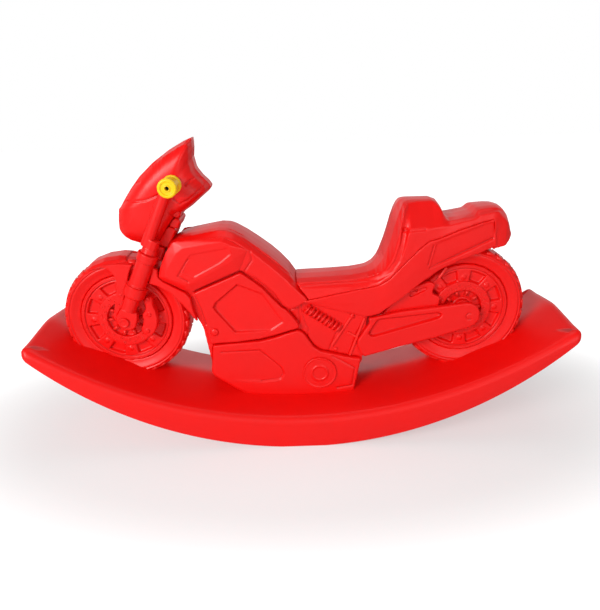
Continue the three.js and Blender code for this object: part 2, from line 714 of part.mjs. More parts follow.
// Windscreen and nose: side outline swelling towards its middle
function fairing() {
  const outline = sized(fairingShares);
  const heart = sidePoint(fairingHeartShares);
  const rings = [];
  const { widthShares, scaleShares } = fairingRings;
  const ringAt = (scale, y) => outline.map(([x, z]) => [
    heart[0] + (x - heart[0]) * scale,
    y,
    heart[1] + (z - heart[1]) * scale,
  ]);
  for (let i = widthShares.length - 1; i >= 0; i -= 1) {
    rings.push(ringAt(scaleShares[i], -fairingHalf * widthShares[i]));
  }
  for (let i = 0; i < widthShares.length; i += 1) {
    rings.push(ringAt(scaleShares[i], fairingHalf * widthShares[i]));
  }
  return loft(rings).subtract(rodSpace());
}

// Front mudguard: a domed shell over the tyre with a web and stay on each side, turned and cut to outline
function fender() {
  const outline = fenderWebShares.map(([x, z]) => [frontHub[0] + x * tyreRadius, frontHub[1] + z * tyreRadius]);
  const crown = tyreRadius + fenderRise;
  const edge = tyreRadius - fenderDrop;
  const dome = turned([[0, -fenderHalf], [edge, -fenderHalf], [crown - fenderRise * 0.7, -fenderHalf * 0.8],
    [crown, -fenderHalf * 0.45], [crown, fenderHalf * 0.45], [crown - fenderRise * 0.7, fenderHalf * 0.8],
    [edge, fenderHalf], [0, fenderHalf]], frontHub, wheelFacets);
  const side = tyreHalf + clearance;
  const shoulder = tyreRadius - shoulderRound + clearance;
  const space = turned([[0, -side], [shoulder, -side], [shoulder + shoulderRound, shoulderRound - side],
    [shoulder + shoulderRound, side - shoulderRound], [shoulder, side], [0, side]], frontHub, wheelFacets);
  return slab(outline, -fenderHalf, fenderHalf, 0, panelRound).intersect(dome).subtract(space);
}

// Tank: lofted across the machine from its top, ridge and sill lines
function tank() {
  const places = stations([tankTopShares, tankSillShares], tankFrontShare, tankRearShare);
  const rings = places.map((x) => {
    const top = lineAt(tankTopShares, x);
    const ridge = Math.min(lineAt(tankRidgeShares, x), top - tankRound);
    const sill = Math.min(lineAt(tankSillShares, x), ridge - tankRound);
    return fullSection(x, [
      [0, top + tankCrown],
      [tankLipHalf * 0.6, top + tankCrown * 0.7],
      [tankLipHalf, top],
      [tankHalf, ridge],
      [tankHalf, sill],
      [0, sill],
    ]);
  });
  return loft(rings);
}

// Seat: bench, backrest and tail, lofted from middle, lip, ridge and crease lines
function seat() {
  const places = stations([creaseShares, seatLipShares, seatMiddleShares], seatFrontShare, seatTipShare);
  const rings = places.map((x) => {
    const foot = lineAt(creaseShares, x) + clearance;
    const lip = Math.max(lineAt(seatLipShares, x), foot + tankRound * 2);
    const middle = Math.max(lineAt(seatMiddleShares, x), lip + clearance);
    const ridge = Math.min(Math.max(lineAt(seatRidgeShares, x), foot + tankRound), lip - tankRound / 2);
    const lipHalf = widthAt(seatLipShares, x);
    const ridgeHalf = widthAt(seatRidgeShares, x);
    const shoulders = shoulderShares.map((share, i) => {
      const t = (i + 1) / 3;
      const z = THREE.MathUtils.lerp(lip, ridge, t);
      const y = THREE.MathUtils.lerp(lipHalf, ridgeHalf, t);
      if (share * height > z) return [y, z];
      return [Math.min(Math.max(i === 0 ? seatShoulderHalf : seatFlankHalf, y), ridgeHalf), z];
    });
    return fullSection(x, [
      [0, middle],
      [lipHalf * 0.6, THREE.MathUtils.lerp(middle, lip, 0.3)],
      [lipHalf, lip],
      ...shoulders,
      [ridgeHalf, ridge],
      [widthAt(creaseShares, x), foot],
      [0, foot],
    ]);
  });
  return loft(rings);
}

// Panel under the crease, made again a little narrower for the floor of its sunken field
function rearCowl(inset = 0) {
  const places = stations([creaseShares, cowlSoleShares], cowlFrontShare, cowlRearShare);
  const rings = places.map((x) => {
    const half = widthAt(creaseShares, x) - inset;
    const top = lineAt(creaseShares, x);
    const sole = Math.min(lineAt(cowlSoleShares, x), top - tankRound / 2);
    return fullSection(x, [
      [0, top],
      [half, top],
      [half, (top + sole) / 2],
      [half - panelRound, sole],
      [0, sole],
    ]);
  });
  return loft(rings);
}

// Half-round relief of a coil spring or tube lying on the block's side
function relief(ends, profileAt, segments) {
  const start = new THREE.Vector2(...sidePoint(ends.start));
  const end = new THREE.Vector2(...sidePoint(ends.end));
  const span = start.distanceTo(end);
  const points = profileAt(span).map(([r, s]) => new THREE.Vector2(r, s));
  const geometry = new THREE.LatheGeometry(points, segments);
  geometry.rotateX(Math.PI / 2);
  geometry.rotateY(Math.atan2(end.x - start.x, end.y - start.y));
  geometry.translate(start.x, -blockHalf, start.y);
  return solidOf(geometry).trimByPlane([0, -1, 0], blockHalf + clearance);
}

function springProfile(span) {
  const profile = [[0, 0], [springRadius * 0.45, 0]];
  const pitch = (span * 0.84) / springRibs;
  for (let i = 0; i < springRibs; i += 1) {
    const from = span * 0.08 + pitch * i;
    profile.push([springRadius * 0.62, from + pitch * 0.1], [springRadius, from + pitch * 0.5]);
  }
  profile.push([springRadius * 0.45, span], [0, span]);
  return profile;
}

function tubeProfile(span) {
  return [[0, 0], [tubeRadius * 1.6, 0], [tubeRadius * 1.6, tubeRadius * 1.5],
    [tubeRadius, tubeRadius * 2], [tubeRadius, span], [0, span]];
}

function roundCover() {
  const face = bellyHalf + clearance;
  const top = face + coverHeight;
  const ring = coverRadius * 0.48;
  const step = coverHeight * 0.4;
  return turned([[0, -top + step], [ring - step * 2, -top + step], [ring - step, -top], [ring, -top],
    [ring + step, -top + step], [coverRadius - step * 2, -top + step], [coverRadius - step, -top],
    [coverRadius, -top + step], [coverRadius, -face], [0, -face]], sidePoint(coverShares), 16);
}

function domePlug() {
  const face = cowlOuter + clearance;
  return turned([[0, -face - plugHeight], [plugRadius * 0.5, -face - plugHeight * 0.88],
    [plugRadius * 0.85, -face - plugHeight * 0.5], [plugRadius, -face], [0, -face]],
  sidePoint(plugShares), 14);
}

// Screws that hold the motorcycle down, in deep counterbores under the board
function screwPlaces() {
  const places = [];
  for (const share of screwShares) {
    for (const side of [-1, 1]) places.push([share * length, side * screwSpread]);
  }
  return places;
}

function upright(x, y, fromZ, toZ, radius, segments) {
  const geometry = new THREE.CylinderGeometry(radius, radius, toZ - fromZ, segments);
  geometry.rotateX(Math.PI / 2);
  geometry.translate(x, y, (fromZ + toZ) / 2);
  return solidOf(geometry);
}

function screwSeat(x) {
  return edgeThickness + archHeight(x, ridgeRadius) - screwDepth;
}

function screw([x, y]) {
  const seatZ = screwSeat(x);
  const head = upright(x, y, seatZ - screwHeadHeight, seatZ, screwHeadRadius, 12);
  return head.add(upright(x, y, seatZ - screwRadius, seatZ + screwDepth + deckCrown + screwReach, screwRadius, 8));
}

function screwHoles() {
  return union(screwPlaces().map(([x, y]) => {
    const seatZ = screwSeat(x) + clearance;
    const bore = upright(x, y, -overrun, seatZ, screwHeadRadius + clearance * 4, 12);
    const reach = seatZ + screwDepth + deckCrown + screwReach + clearance;
    return bore.add(upright(x, y, seatZ - screwRadius, reach, screwRadius + clearance, 8));
  }));
}

// Build the solids, neighbours cut clear of each other
const frontSpace = wheelSpace(frontHub);
const rearSpace = wheelSpace(rearHub);
const boardWhole = loft(boardRings());
const board = boardWhole.subtract(frontSpace).subtract(rearSpace).subtract(screwHoles());

// Sets a solid back from the tank along the tank's sloping rear end
const seatCut = (() => {
  const upper = new THREE.Vector2(...sidePoint(tankTopShares[tankTopShares.length - 2]));
  const lower = new THREE.Vector2(...sidePoint(tankTopShares[tankTopShares.length - 1]));
  const along = lower.clone().sub(upper).normalize();
  const normal = [-along.y, 0, along.x];
  return { normal, offset: normal[0] * upper.x + normal[2] * upper.y + clearance };
})();
const tankBody = tank().subtract(frontSpace);
const seatBody = clearOf(
  seat().trimByPlane(seatCut.normal, seatCut.offset).subtract(rearSpace), [tankBody]);
const tailField = slab(sized(tailFieldShares), blockHalf, seatHalf + overrun, 0, panelRound)
  .subtract(rearCowl(recessDepth));
const cowlBody = clearOf(
  rearCowl().subtract(tailField).subtract(mirrored(tailField)).subtract(rearSpace), [tankBody]);
const bellyField = slopedField(bellyFieldShares, bellyHalf,
  ([x]) => fieldDepth * THREE.MathUtils.smoothstep(x, bellyFieldShares[6][0], bellyFieldShares[3][0]));
const belly = largestOf(
  slab(sized(bellyShares), -bellyHalf, bellyHalf, panelBevel, panelRound)
    .subtract(bellyField).subtract(mirrored(bellyField))
    .subtract(boardWhole.translate([0, 0, clearance])).subtract(frontSpace).subtract(rearSpace)
    .subtract(screwHoles()));
const riser = headBlock(riserShares, riserReach, headHalf);
const fairingBody = clearOf(fairing(), [riser], clearance);
const legBody = clearOf(forkLeg(), [fairingBody]);
const shoeBody = clearOf(forkShoe(), [legBody]);
const block = clearOf(
  slab(sized(blockShares), -blockHalf, blockHalf, 0, 0).subtract(frontSpace).subtract(rearSpace),
  [tankBody, seatBody, cowlBody, belly]);

// Steering head blocks, from the tyre up to the handlebar
const lowerClamp = clearOf(
  headBlock(lowerClampShares, lowerClampReach, tyreHalf), [fairingBody, tankBody]).subtract(frontSpace);
const headTube = clearOf(
  headBlock(headTubeShares, headTubeReach, headHalf), [fairingBody, tankBody, lowerClamp]);
const upperClamp = clearOf(
  headBlock(upperClampShares, upperClampReach, headHalf), [fairingBody, tankBody, headTube]);
const fenderBody = clearOf(
  fender(), [legBody, mirrored(legBody), shoeBody, mirrored(shoeBody), fairingBody, lowerClamp], clearance);

// Side pieces, made for the mounting side
const rearAxleEnd = armOuter - panelBevel;
const armSlot = slab(sized(armSlotShares), armOuter - recessDepth * 2, armOuter + overrun, 0, armRound);
const armBody = clearOf(
  panel(sized(armShares), blockHalf + clearance, armOuter, panelBevel, armRound)
    .subtract(armSlot).subtract(plainAxle(rearHub, rearAxleEnd, clearance)), [belly, cowlBody]);
const guardBody = clearOf(
  panel(sized(guardShares), tyreHalf + clearance, blockHalf, guardBevel, guardRound)
    .subtract(slab(sized(guardSlotShares), blockHalf - recessDepth * 2, blockHalf + overrun, 0, guardRound)),
  [cowlBody, armBody, block]);
const strutBody = clearOf(
  panel(sized(strutShares), blockHalf + clearance, strutOuter, panelBevel, 0),
  [tankBody, belly, legBody]);
const sideField = slopedField(sideFieldShares, cowlOuter,
  ([x]) => fieldDepth * (1 - THREE.MathUtils.smoothstep(x, sideFieldShares[2][0], sideFieldShares[6][0])));
const sideBody = clearOf(
  panel(sized(sidePanelShares), blockHalf + clearance, cowlOuter, panelBevel, panelRound).subtract(sideField),
  [tankBody, belly, strutBody, cowlBody]);
const scoopBody = clearOf(
  faceted([{ shares: scoopFootShares, half: tankHalf + clearance }, { shares: scoopFaceShares, half: scoopOuter }]),
  [strutBody, sideBody, legBody]);
const calliperFoot = rimHalf + discThickness + clearance * 2;
const calliperBolts = union(calliperBoltShares.map((share) => {
  const top = calliperOuter + boltHeadHeight;
  const foot = calliperOuter - panelBevel;
  return turned([[0, -top], [boltHeadRadius, -top], [boltHeadRadius, -foot], [0, -foot]], sidePoint(share), 8);
}));
const calliperBody = clearOf(
  panel(sized(calliperShares), calliperFoot, calliperOuter, panelBevel, calliperRound).add(calliperBolts),
  [shoeBody, legBody]);
const springBody = clearOf(relief(springShares, springProfile, 8), [tankBody, belly, cowlBody, sideBody]);
const linkBody = clearOf(relief(linkShares, tubeProfile, 8), [belly, cowlBody, springBody, armBody]);
const coverBody = clearOf(roundCover(), [boardWhole]);

// Materials and the scene
const red = { color: '#e80f0f', roughness: 0.34, metalness: 0 };
const yellow = { color: '#ffd21a', roughness: 0.38, metalness: 0 };
const steel = { color: '#8d9094', roughness: 0.35, metalness: 0.9 };
const group = new THREE.Group();

function place(name, solid, look) {
  const mesh = largestOf(solid.simplify(meshTolerance)).getMesh();
  const geometry = new THREE.BufferGeometry();
  geometry.setAttribute('position', new THREE.Float32BufferAttribute(mesh.vertProperties, 3));
  geometry.setIndex(new THREE.Uint32BufferAttribute(mesh.triVerts, 1));
  geometry.computeVertexNormals();
  const item = new THREE.Mesh(geometry, new THREE.MeshStandardMaterial(look));
  item.name = name;
  group.add(item);
}

function placePair(name, solid, look) {
  place(`${name}_left`, mirrored(solid), look);
  place(`${name}_right`, solid, look);
}

place('rocker_board', board, red);
screwPlaces().forEach((at, i) => place(`board_screw_${i + 1}`, screw(at), steel));
place('belly_pan', belly, red);
place('engine_block', block, red);
place('tank', tankBody, red);
placePair('tank_scoop', scoopBody, red);
placePair('down_strut', strutBody, red);
placePair('side_cowl', sideBody, red);
placePair('cowl_plug', domePlug(), red);
placePair('clutch_cover', coverBody, red);
placePair('shock_spring', springBody, red);
placePair('shock_link', linkBody, red);
place('seat', seatBody, red);
place('rear_cowl', cowlBody, red);
placePair('swing_arm', armBody, red);
placePair('chain_guard', guardBody, red);
place('front_wheel', rim(frontHub), red);
place('front_tyre', tyre(frontHub), red);
place('rear_wheel', rim(rearHub), red);
place('rear_tyre', tyre(rearHub), red);
placePair('front_disc', brakeDisc(frontHub), red);
placePair('rear_disc', brakeDisc(rearHub), red);
placePair('calliper', calliperBody, red);
place('front_fender', fenderBody, red);
placePair('fork_leg', legBody, red);
placePair('fork_shoe', shoeBody, red);
place('front_axle', cappedAxle(frontHub), red);
place('rear_axle', plainAxle(rearHub, rearAxleEnd), steel);
place('head_tube', headTube, red);
place('upper_clamp', upperClamp, red);
place('lower_clamp', lowerClamp, red);
place('bar_riser', riser, red);
place('fairing', fairingBody, red);
place('handlebar_rod', rod(), steel);
placePair('grip', grip(), yellow);

export default group;
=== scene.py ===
import math

import bmesh
import bpy
import numpy as np
from mathutils import Euler, Matrix, Vector


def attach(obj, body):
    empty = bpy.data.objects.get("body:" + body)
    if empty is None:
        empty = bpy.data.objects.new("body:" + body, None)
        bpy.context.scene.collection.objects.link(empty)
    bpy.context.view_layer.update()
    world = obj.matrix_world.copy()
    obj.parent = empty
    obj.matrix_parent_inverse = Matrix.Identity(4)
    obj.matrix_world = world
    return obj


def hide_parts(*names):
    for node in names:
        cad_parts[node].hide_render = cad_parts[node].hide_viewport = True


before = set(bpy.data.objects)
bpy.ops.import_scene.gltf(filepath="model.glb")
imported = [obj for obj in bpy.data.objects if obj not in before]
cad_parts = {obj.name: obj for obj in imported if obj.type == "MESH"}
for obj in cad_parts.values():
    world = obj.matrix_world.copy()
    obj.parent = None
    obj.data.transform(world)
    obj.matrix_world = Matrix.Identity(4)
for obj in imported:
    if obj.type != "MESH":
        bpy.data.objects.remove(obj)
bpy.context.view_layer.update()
scene = bpy.context.scene

# The camera stands a metre in front of the toy's middle and looks down on its near side by 21 degrees, a
# little rolled. Its place, turn and lens are fitted to the board's corners, the wheels and the grips.
CAMERA_PLACE = (0.0, -0.9948, 0.6157)
CAMERA_PITCH = 69.0
CAMERA_ROLL = -1.89
CAMERA_LENS = 33.29
CAMERA_FRAME_WIDTH = 36.0
CAMERA_NEAREST = 0.02

lens = bpy.data.cameras.new("camera")
lens.lens = CAMERA_LENS
lens.sensor_width = CAMERA_FRAME_WIDTH
lens.clip_start = CAMERA_NEAREST
camera = bpy.data.objects.new("camera", lens)
camera.matrix_world = (Matrix.Translation(CAMERA_PLACE)
                       @ Matrix.Rotation(math.radians(CAMERA_PITCH), 4, "X")
                       @ Matrix.Rotation(math.radians(CAMERA_ROLL), 4, "Z"))
scene.collection.objects.link(camera)
scene.camera = camera


# The rocker board is the lower half of the toy: a hollow, crowned plank, blow moulded in red high-density
# polyethylene. The mould leaves a satin skin with a faint orange peel, slow waves where the wall cools
# unevenly, and round edges that rub a little paler. Its creases and hollows get a darker red: painted
# shade.
MM = 0.001
RED_SKIN = "#F20B08"
RED_SKIN_DEEP = "#E60A07"
RED_RUBBED = "#F5332C"
# A darker red painted into creases and hollows as shade.
RED_CREVICE_SHADE = "#A80302"
RED_ROUGHNESS = 0.35
POLYETHYLENE_IOR = 1.51
POLYETHYLENE_SHEEN = 0.33
WAVE_SIZE = 55 * MM
WAVE_HEIGHT = 1.5 * MM
WAVE_STRENGTH = 0.25
WAVE_DETAIL = 2.0
PEEL_SIZE = 2.2 * MM
PEEL_HEIGHT = 0.4 * MM
PEEL_STRENGTH = 0.06
PEEL_DETAIL = 1.0
RUB_FROM = 0.53
RUB_FULL = 0.62
RUB_SHARE = 0.5
# Concave places shift towards the painted crevice shade, up to this share.
CREVICE_SHADE_FROM = 0.485
CREVICE_SHADE_FULL = 0.43
CREVICE_SHADE_SHARE = 0.8
GLOSS_WAVE_LOW = 0.3
GLOSS_WAVE_HIGH = 0.7
GLOSS_GAIN = 0.03
GLOSS_LOSS = 0.04

BOARD_HALF = (485, 118)
BOARD_CORNER = 12
SOLE_ARC = 693
SOLE_FLAT = 40
DECK_ARC = 800
RIDGE_ARC = 850
EDGE_THICKNESS = 55
DECK_CROWN = 25
RIDGE_SOFTNESS = 14
SOLE_ROUND = 2
EDGE_ROUND = 12
END_ROUND = 22
END_ROUND_FROM = 430
ROUNDING_SHARE = 0.8
LENGTH_STEPS = 97
WIDTH_STEPS = 27
CORNER_STEPS = 7
SOLE_INSETS = (BOARD_HALF[1], 100, 70, 40, 15, SOLE_ROUND)
SOLE_ROUND_ANGLES = (60, 30, 0)
EDGE_ROUND_ANGLES = (0, 12, 24, 36, 48, 60, 75, 90)
DECK_INSETS = (34, 46, 58, 70, 82, 92, 100, 107, 112, 116, BOARD_HALF[1])
BOARD_MERGE = 0.02 * MM


def linear(colour):
    """A colour written as sRGB hex, as the shader's linear values."""
    parts = [int(colour[i:i + 2], 16) / 255 for i in (1, 3, 5)]
    return tuple(c / 12.92 if c <= 0.04045 else ((c + 0.055) / 1.055) ** 2.4 for c in parts) + (1.0,)


def add(tree, kind, inputs=None, **settings):
    """Adds one node; inputs maps a socket to a value or to another node's output."""
    made = tree.nodes.new(kind)
    for name, value in settings.items():
        setattr(made, name, value)
    for key, value in (inputs or {}).items():
        if isinstance(value, bpy.types.NodeSocket):
            tree.links.new(value, made.inputs[key])
        else:
            made.inputs[key].default_value = value
    return made


def empty_material(name):
    """A new material whose node tree holds nothing yet."""
    material = bpy.data.materials.new(name)
    material.use_nodes = True
    material.node_tree.nodes.clear()
    return material


def moulded_plastic(name, colour, deep, rubbed, crevice_shade_colour, roughness):
    """Satin moulded polyethylene: two close tones, peel and waves, rubbed edges, and painted shade in the
    crevices.
    """
    material = empty_material(name)
    tree = material.node_tree
    # A Mix node's colours are its sockets 6 and 7, and its mixed colour is output 2.
    place = add(tree, "ShaderNodeTexCoord").outputs["Object"]
    drift = add(tree, "ShaderNodeTexNoise",
                {"Vector": place, "Scale": 1 / WAVE_SIZE, "Detail": WAVE_DETAIL})
    tone = add(tree, "ShaderNodeMix", {0: drift.outputs["Fac"], 6: linear(colour), 7: linear(deep)},
               data_type="RGBA")
    edge = add(tree, "ShaderNodeNewGeometry").outputs["Pointiness"]
    worn = add(tree, "ShaderNodeMapRange",
               {"Value": edge, "From Min": RUB_FROM, "From Max": RUB_FULL, "To Max": RUB_SHARE})
    pale = add(tree, "ShaderNodeMix", {0: worn.outputs[0], 6: tone.outputs[2], 7: linear(rubbed)},
               data_type="RGBA")
    # Painted shade: the more concave the surface, the more it takes the darker crevice colour.
    painted_crevice_shade = add(tree, "ShaderNodeMapRange",
                 {"Value": edge, "From Min": CREVICE_SHADE_FROM, "From Max": CREVICE_SHADE_FULL,
                  "To Max": CREVICE_SHADE_SHARE})
    paint = add(tree, "ShaderNodeMix", {0: painted_crevice_shade.outputs[0], 6: pale.outputs[2], 7: linear(crevice_shade_colour)},
                data_type="RGBA")
    gloss = add(tree, "ShaderNodeMapRange",
                {"Value": drift.outputs["Fac"], "From Min": GLOSS_WAVE_LOW, "From Max": GLOSS_WAVE_HIGH,
                 "To Min": roughness - GLOSS_GAIN, "To Max": roughness + GLOSS_LOSS})
    peel = add(tree, "ShaderNodeTexNoise",
               {"Vector": place, "Scale": 1 / PEEL_SIZE, "Detail": PEEL_DETAIL})
    skin = add(tree, "ShaderNodeBump",
               {"Height": peel.outputs["Fac"], "Strength": PEEL_STRENGTH, "Distance": PEEL_HEIGHT})
    wave = add(tree, "ShaderNodeBump",
               {"Height": drift.outputs["Fac"], "Strength": WAVE_STRENGTH, "Distance": WAVE_HEIGHT,
                "Normal": skin.outputs[0]})
    surface = add(tree, "ShaderNodeBsdfPrincipled",
                  {"Base Color": paint.outputs[2], "Roughness": gloss.outputs[0], "IOR": POLYETHYLENE_IOR,
                   "Specular IOR Level": POLYETHYLENE_SHEEN, "Normal": wave.outputs[0]})
    add(tree, "ShaderNodeOutputMaterial", {"Surface": surface.outputs[0]})
    return material


red_polyethylene = moulded_plastic("blow moulded HDPE red", RED_SKIN, RED_SKIN_DEEP, RED_RUBBED,
                                   RED_CREVICE_SHADE, RED_ROUGHNESS)


def outline_shares():
    """For each point round the board, its shares of the straight sides and of the corner's radius."""
    along = np.linspace(-1, 1, LENGTH_STEPS)[1:-1]
    across = np.linspace(-1, 1, WIDTH_STEPS)[1:-1]
    arc = np.radians(np.linspace(0, 90, CORNER_STEPS))
    rows = []
    for x_sign, y_sign in ((1, 1), (-1, 1), (-1, -1), (1, -1)):
        long_side_next = x_sign == y_sign
        turn = arc if long_side_next else arc[::-1]
        rows.extend((x_sign, y_sign, x_sign * math.cos(a), y_sign * math.sin(a)) for a in turn)
        if long_side_next:
            rows.extend((-x_sign * t, y_sign, 0, y_sign) for t in along)
        else:
            rows.extend((x_sign, -y_sign * t, x_sign, 0) for t in across)
    return np.array(rows)


board_outline = outline_shares()


def inset_outline(inset):
    """The board's outline in plan, moved inwards by one inset or by one for each of its points."""
    depth = np.broadcast_to(inset, len(board_outline))[:, None]
    corner = np.maximum(BOARD_CORNER - depth, 0.0)
    return board_outline[:, :2] * (np.array(BOARD_HALF) - depth - corner) + board_outline[:, 2:] * corner


def arch(x, radius):
    """How far an arc of this radius has risen at x."""
    return radius - np.sqrt(radius * radius - x * x)


def deck_height(place):
    """The crowned deck's height over a plan place, before its edge is rounded."""
    x, y = place[:, 0], place[:, 1]
    edge = EDGE_THICKNESS + arch(x, DECK_ARC)
    ridge = EDGE_THICKNESS + DECK_CROWN + arch(x, RIDGE_ARC)
    spread = np.sqrt(y * y + RIDGE_SOFTNESS ** 2) - RIDGE_SOFTNESS
    return ridge - (ridge - edge) / BOARD_HALF[1] * spread


def sole_height(place):
    """The rocking sole's height, flat for a hand's breadth at its lowest."""
    return np.maximum(0.0, arch(place[:, 0], SOLE_ARC) - arch(SOLE_FLAT, SOLE_ARC))


def board_ring(height, inset, lift=0.0):
    """One ring of the board's skin: its outline at an inset, lifted from the sole's or deck's height."""
    ring = inset_outline(inset)
    return np.column_stack([ring, height(ring) + lift])


def round_over(angle):
    """How far a rounding of radius 1 lies inside its edge and short of its face, at an angle."""
    return 1 - math.cos(math.radians(angle)), 1 - math.sin(math.radians(angle))


rim = inset_outline(0.0)
end_share = np.clip((np.abs(rim[:, 0]) - END_ROUND_FROM) / (BOARD_HALF[0] - END_ROUND_FROM), 0.0, 1.0)
edge_round = EDGE_ROUND + (END_ROUND - EDGE_ROUND) * end_share ** 2
edge_round = np.minimum(edge_round, (deck_height(rim) - sole_height(rim)) * ROUNDING_SHARE)

board_rings = [board_ring(sole_height, inset) for inset in SOLE_INSETS]
for angle in SOLE_ROUND_ANGLES:
    inside, short = round_over(angle)
    board_rings.append(board_ring(sole_height, SOLE_ROUND * inside, SOLE_ROUND * short))
for angle in EDGE_ROUND_ANGLES:
    inside, short = round_over(angle)
    board_rings.append(board_ring(deck_height, edge_round * inside, -edge_round * short))
board_rings.extend(board_ring(deck_height, inset) for inset in DECK_INSETS)

board_mesh = bpy.data.meshes.new("rocker_board_skin")
board_work = bmesh.new()
board_points = [[board_work.verts.new(Vector(place) * MM) for place in ring] for ring in board_rings]
for lower, upper in zip(board_points[:-1], board_points[1:]):
    for i in range(-1, len(lower) - 1):
        board_work.faces.new((lower[i], lower[i + 1], upper[i + 1], upper[i]))
bmesh.ops.remove_doubles(board_work, verts=board_work.verts, dist=BOARD_MERGE)
bmesh.ops.recalc_face_normals(board_work, faces=board_work.faces)
for face in board_work.faces:
    face.smooth = True
board_work.to_mesh(board_mesh)
board_work.free()
board_mesh.materials.append(red_polyethylene)
board = bpy.data.objects.new("rocker_board_skin", board_mesh)
scene.collection.objects.link(board)
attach(board, "root")
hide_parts("rocker_board")


# Four pan-head screws hold the motorcycle down on the board from below. They are zinc-plated carbon
# steel, bright and slightly blue, with the fine drift that the plating bath leaves.
ZINC = "#B9BCC0"
ZINC_DULL = "#9FA3A8"
ZINC_DRIFT = 6 * MM
ZINC_ROUGHNESS = (0.24, 0.36)
SCREW_NUMBERS = (1, 2, 3, 4)


def two_tone_steel(name, bright, dull, drift, roughness, metallic):
    """Steel in two close tones that drift over it, and its gloss goes with them; on the zinc they are the
    plating's drift, on the black rod painted shade.
    """
    material = empty_material(name)
    tree = material.node_tree
    place = add(tree, "ShaderNodeTexCoord").outputs["Object"]
    cloud = add(tree, "ShaderNodeTexNoise", {"Vector": place, "Scale": 1 / drift})
    tone = add(tree, "ShaderNodeMix", {0: cloud.outputs["Fac"], 6: linear(bright), 7: linear(dull)},
               data_type="RGBA")
    gloss = add(tree, "ShaderNodeMapRange",
                {"Value": cloud.outputs["Fac"], "To Min": roughness[0], "To Max": roughness[1]})
    surface = add(tree, "ShaderNodeBsdfPrincipled",
                  {"Base Color": tone.outputs[2], "Roughness": gloss.outputs[0], "Metallic": metallic})
    add(tree, "ShaderNodeOutputMaterial", {"Surface": surface.outputs[0]})
    return material


zinc_steel = two_tone_steel("zinc plated steel", ZINC, ZINC_DULL, ZINC_DRIFT, ZINC_ROUGHNESS, 1.0)


def steel_finish(node, finish):
    """Gives a node of the model its steel, and leaves its mesh as it is."""
    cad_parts[node].data.materials.clear()
    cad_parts[node].data.materials.append(finish)


for number in SCREW_NUMBERS:
    steel_finish(f"board_screw_{number}", zinc_steel)


# The engine housing is moulded with the body, in the same red skin: the belly stands on the deck, and the
# block behind the side panels closes it. Shallow lines in the mould draw a cover panel and its seams on
# the belly, and the outlines of machine parts in the recess under the seat.
SIDES = {"left": -1, "right": 1}
HOUSING_VOXEL = 1.6 * MM
BLOCK_VOXEL = 2.0 * MM
COVER_VOXEL = 1.1 * MM
EDGE_SOFTENING = 3
SOFTENING_FACTOR = 0.5
SOLID_MERGE = 0.001 * MM
LINE_WIDTH = 1.3
LINE_DEPTH = 1.9
LINE_WALL = 1.6
BELLY_FACE = 47
BELLY_COVER_LINES = [
    [(58, 150), (99, 124), (94, 88), (66, 83)],
    [(-148, 165), (-77, 166), (-39, 129), (-35, 116), (-42, 106), (-77, 102)],
]
BLOCK_FACE = 40
RECESS_LINES = [
    [(2, 251), (5, 231), (10, 211), (15, 205), (11, 185), (25, 166), (36, 157), (49, 155), (70, 205)],
    [(-20, 240), (-5, 251), (-1, 229), (-3, 216), (-20, 240)],
    [(117, 217), (103, 192), (89, 148)],
]


def moulded_skin(node, voxel, softening=EDGE_SOFTENING, marks=(),
                 material=red_polyethylene, body="root"):
    """The node's solid with the soft edges that a mould gives and the marks cut in the mould."""
    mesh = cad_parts[node].data.copy()
    mesh.materials.clear()
    work = bmesh.new()
    work.from_mesh(mesh)
    bmesh.ops.remove_doubles(work, verts=work.verts, dist=SOLID_MERGE)
    work.to_mesh(mesh)
    work.free()
    piece = bpy.data.objects.new(node + "_skin", mesh)
    scene.collection.objects.link(piece)
    skin = piece.modifiers.new("skin", "REMESH")
    skin.mode = "VOXEL"
    skin.voxel_size = voxel
    soft = piece.modifiers.new("soft edges", "SMOOTH")
    soft.factor = SOFTENING_FACTOR
    soft.iterations = softening
    finished = bpy.data.meshes.new_from_object(piece.evaluated_get(bpy.context.evaluated_depsgraph_get()))
    piece.modifiers.clear()
    points = np.empty(len(finished.vertices) * 3)
    finished.vertices.foreach_get("co", points)
    points = points.reshape(-1, 3)
    for mark in marks:
        mark(points)
    finished.vertices.foreach_set("co", points.ravel())
    finished.materials.clear()
    finished.materials.append(material)
    finished.polygons.foreach_set("use_smooth", [True] * len(finished.polygons))
    piece.data = finished
    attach(piece, body)
    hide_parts(node)


def path_distance(points, path):
    """How far each side-view point lies from a path of straight runs, in millimetres."""
    nearest = np.full(len(points), np.inf)
    for start, end in zip(np.array(path[:-1], float), np.array(path[1:], float)):
        run = end - start
        along = np.clip((points - start) @ run / (run @ run), 0.0, 1.0)
        nearest = np.minimum(nearest, np.linalg.norm(points - start - along[:, None] * run, axis=1))
    return nearest


def eased(share):
    """A share kept between 0 and 1, with a gentle start and end."""
    share = np.clip(share, 0.0, 1.0)
    return share * share * (3 - 2 * share)


def sink(points, face, share, depth):
    """Moves the points on both flanks beyond a face inwards, each by its share of a depth."""
    beyond = np.abs(points[:, 1]) > face * MM
    points[:, 1] -= np.sign(points[:, 1]) * share * beyond * depth * MM


def pressed(paths, face, width=LINE_WIDTH, depth=LINE_DEPTH, wall=LINE_WALL):
    """Grooves along side-view paths, on both flanks beyond a face."""
    def mark(points):
        for path in paths:
            distance = path_distance(points[:, (0, 2)] / MM, path)
            sink(points, face, eased((width / 2 + wall - distance) / wall), depth)
    return mark


moulded_skin("belly_pan", HOUSING_VOXEL, marks=[pressed(BELLY_COVER_LINES, BELLY_FACE)])
moulded_skin("engine_block", BLOCK_VOXEL, marks=[pressed(RECESS_LINES, BLOCK_FACE)])
for side in SIDES:
    moulded_skin("clutch_cover_" + side, COVER_VOXEL)


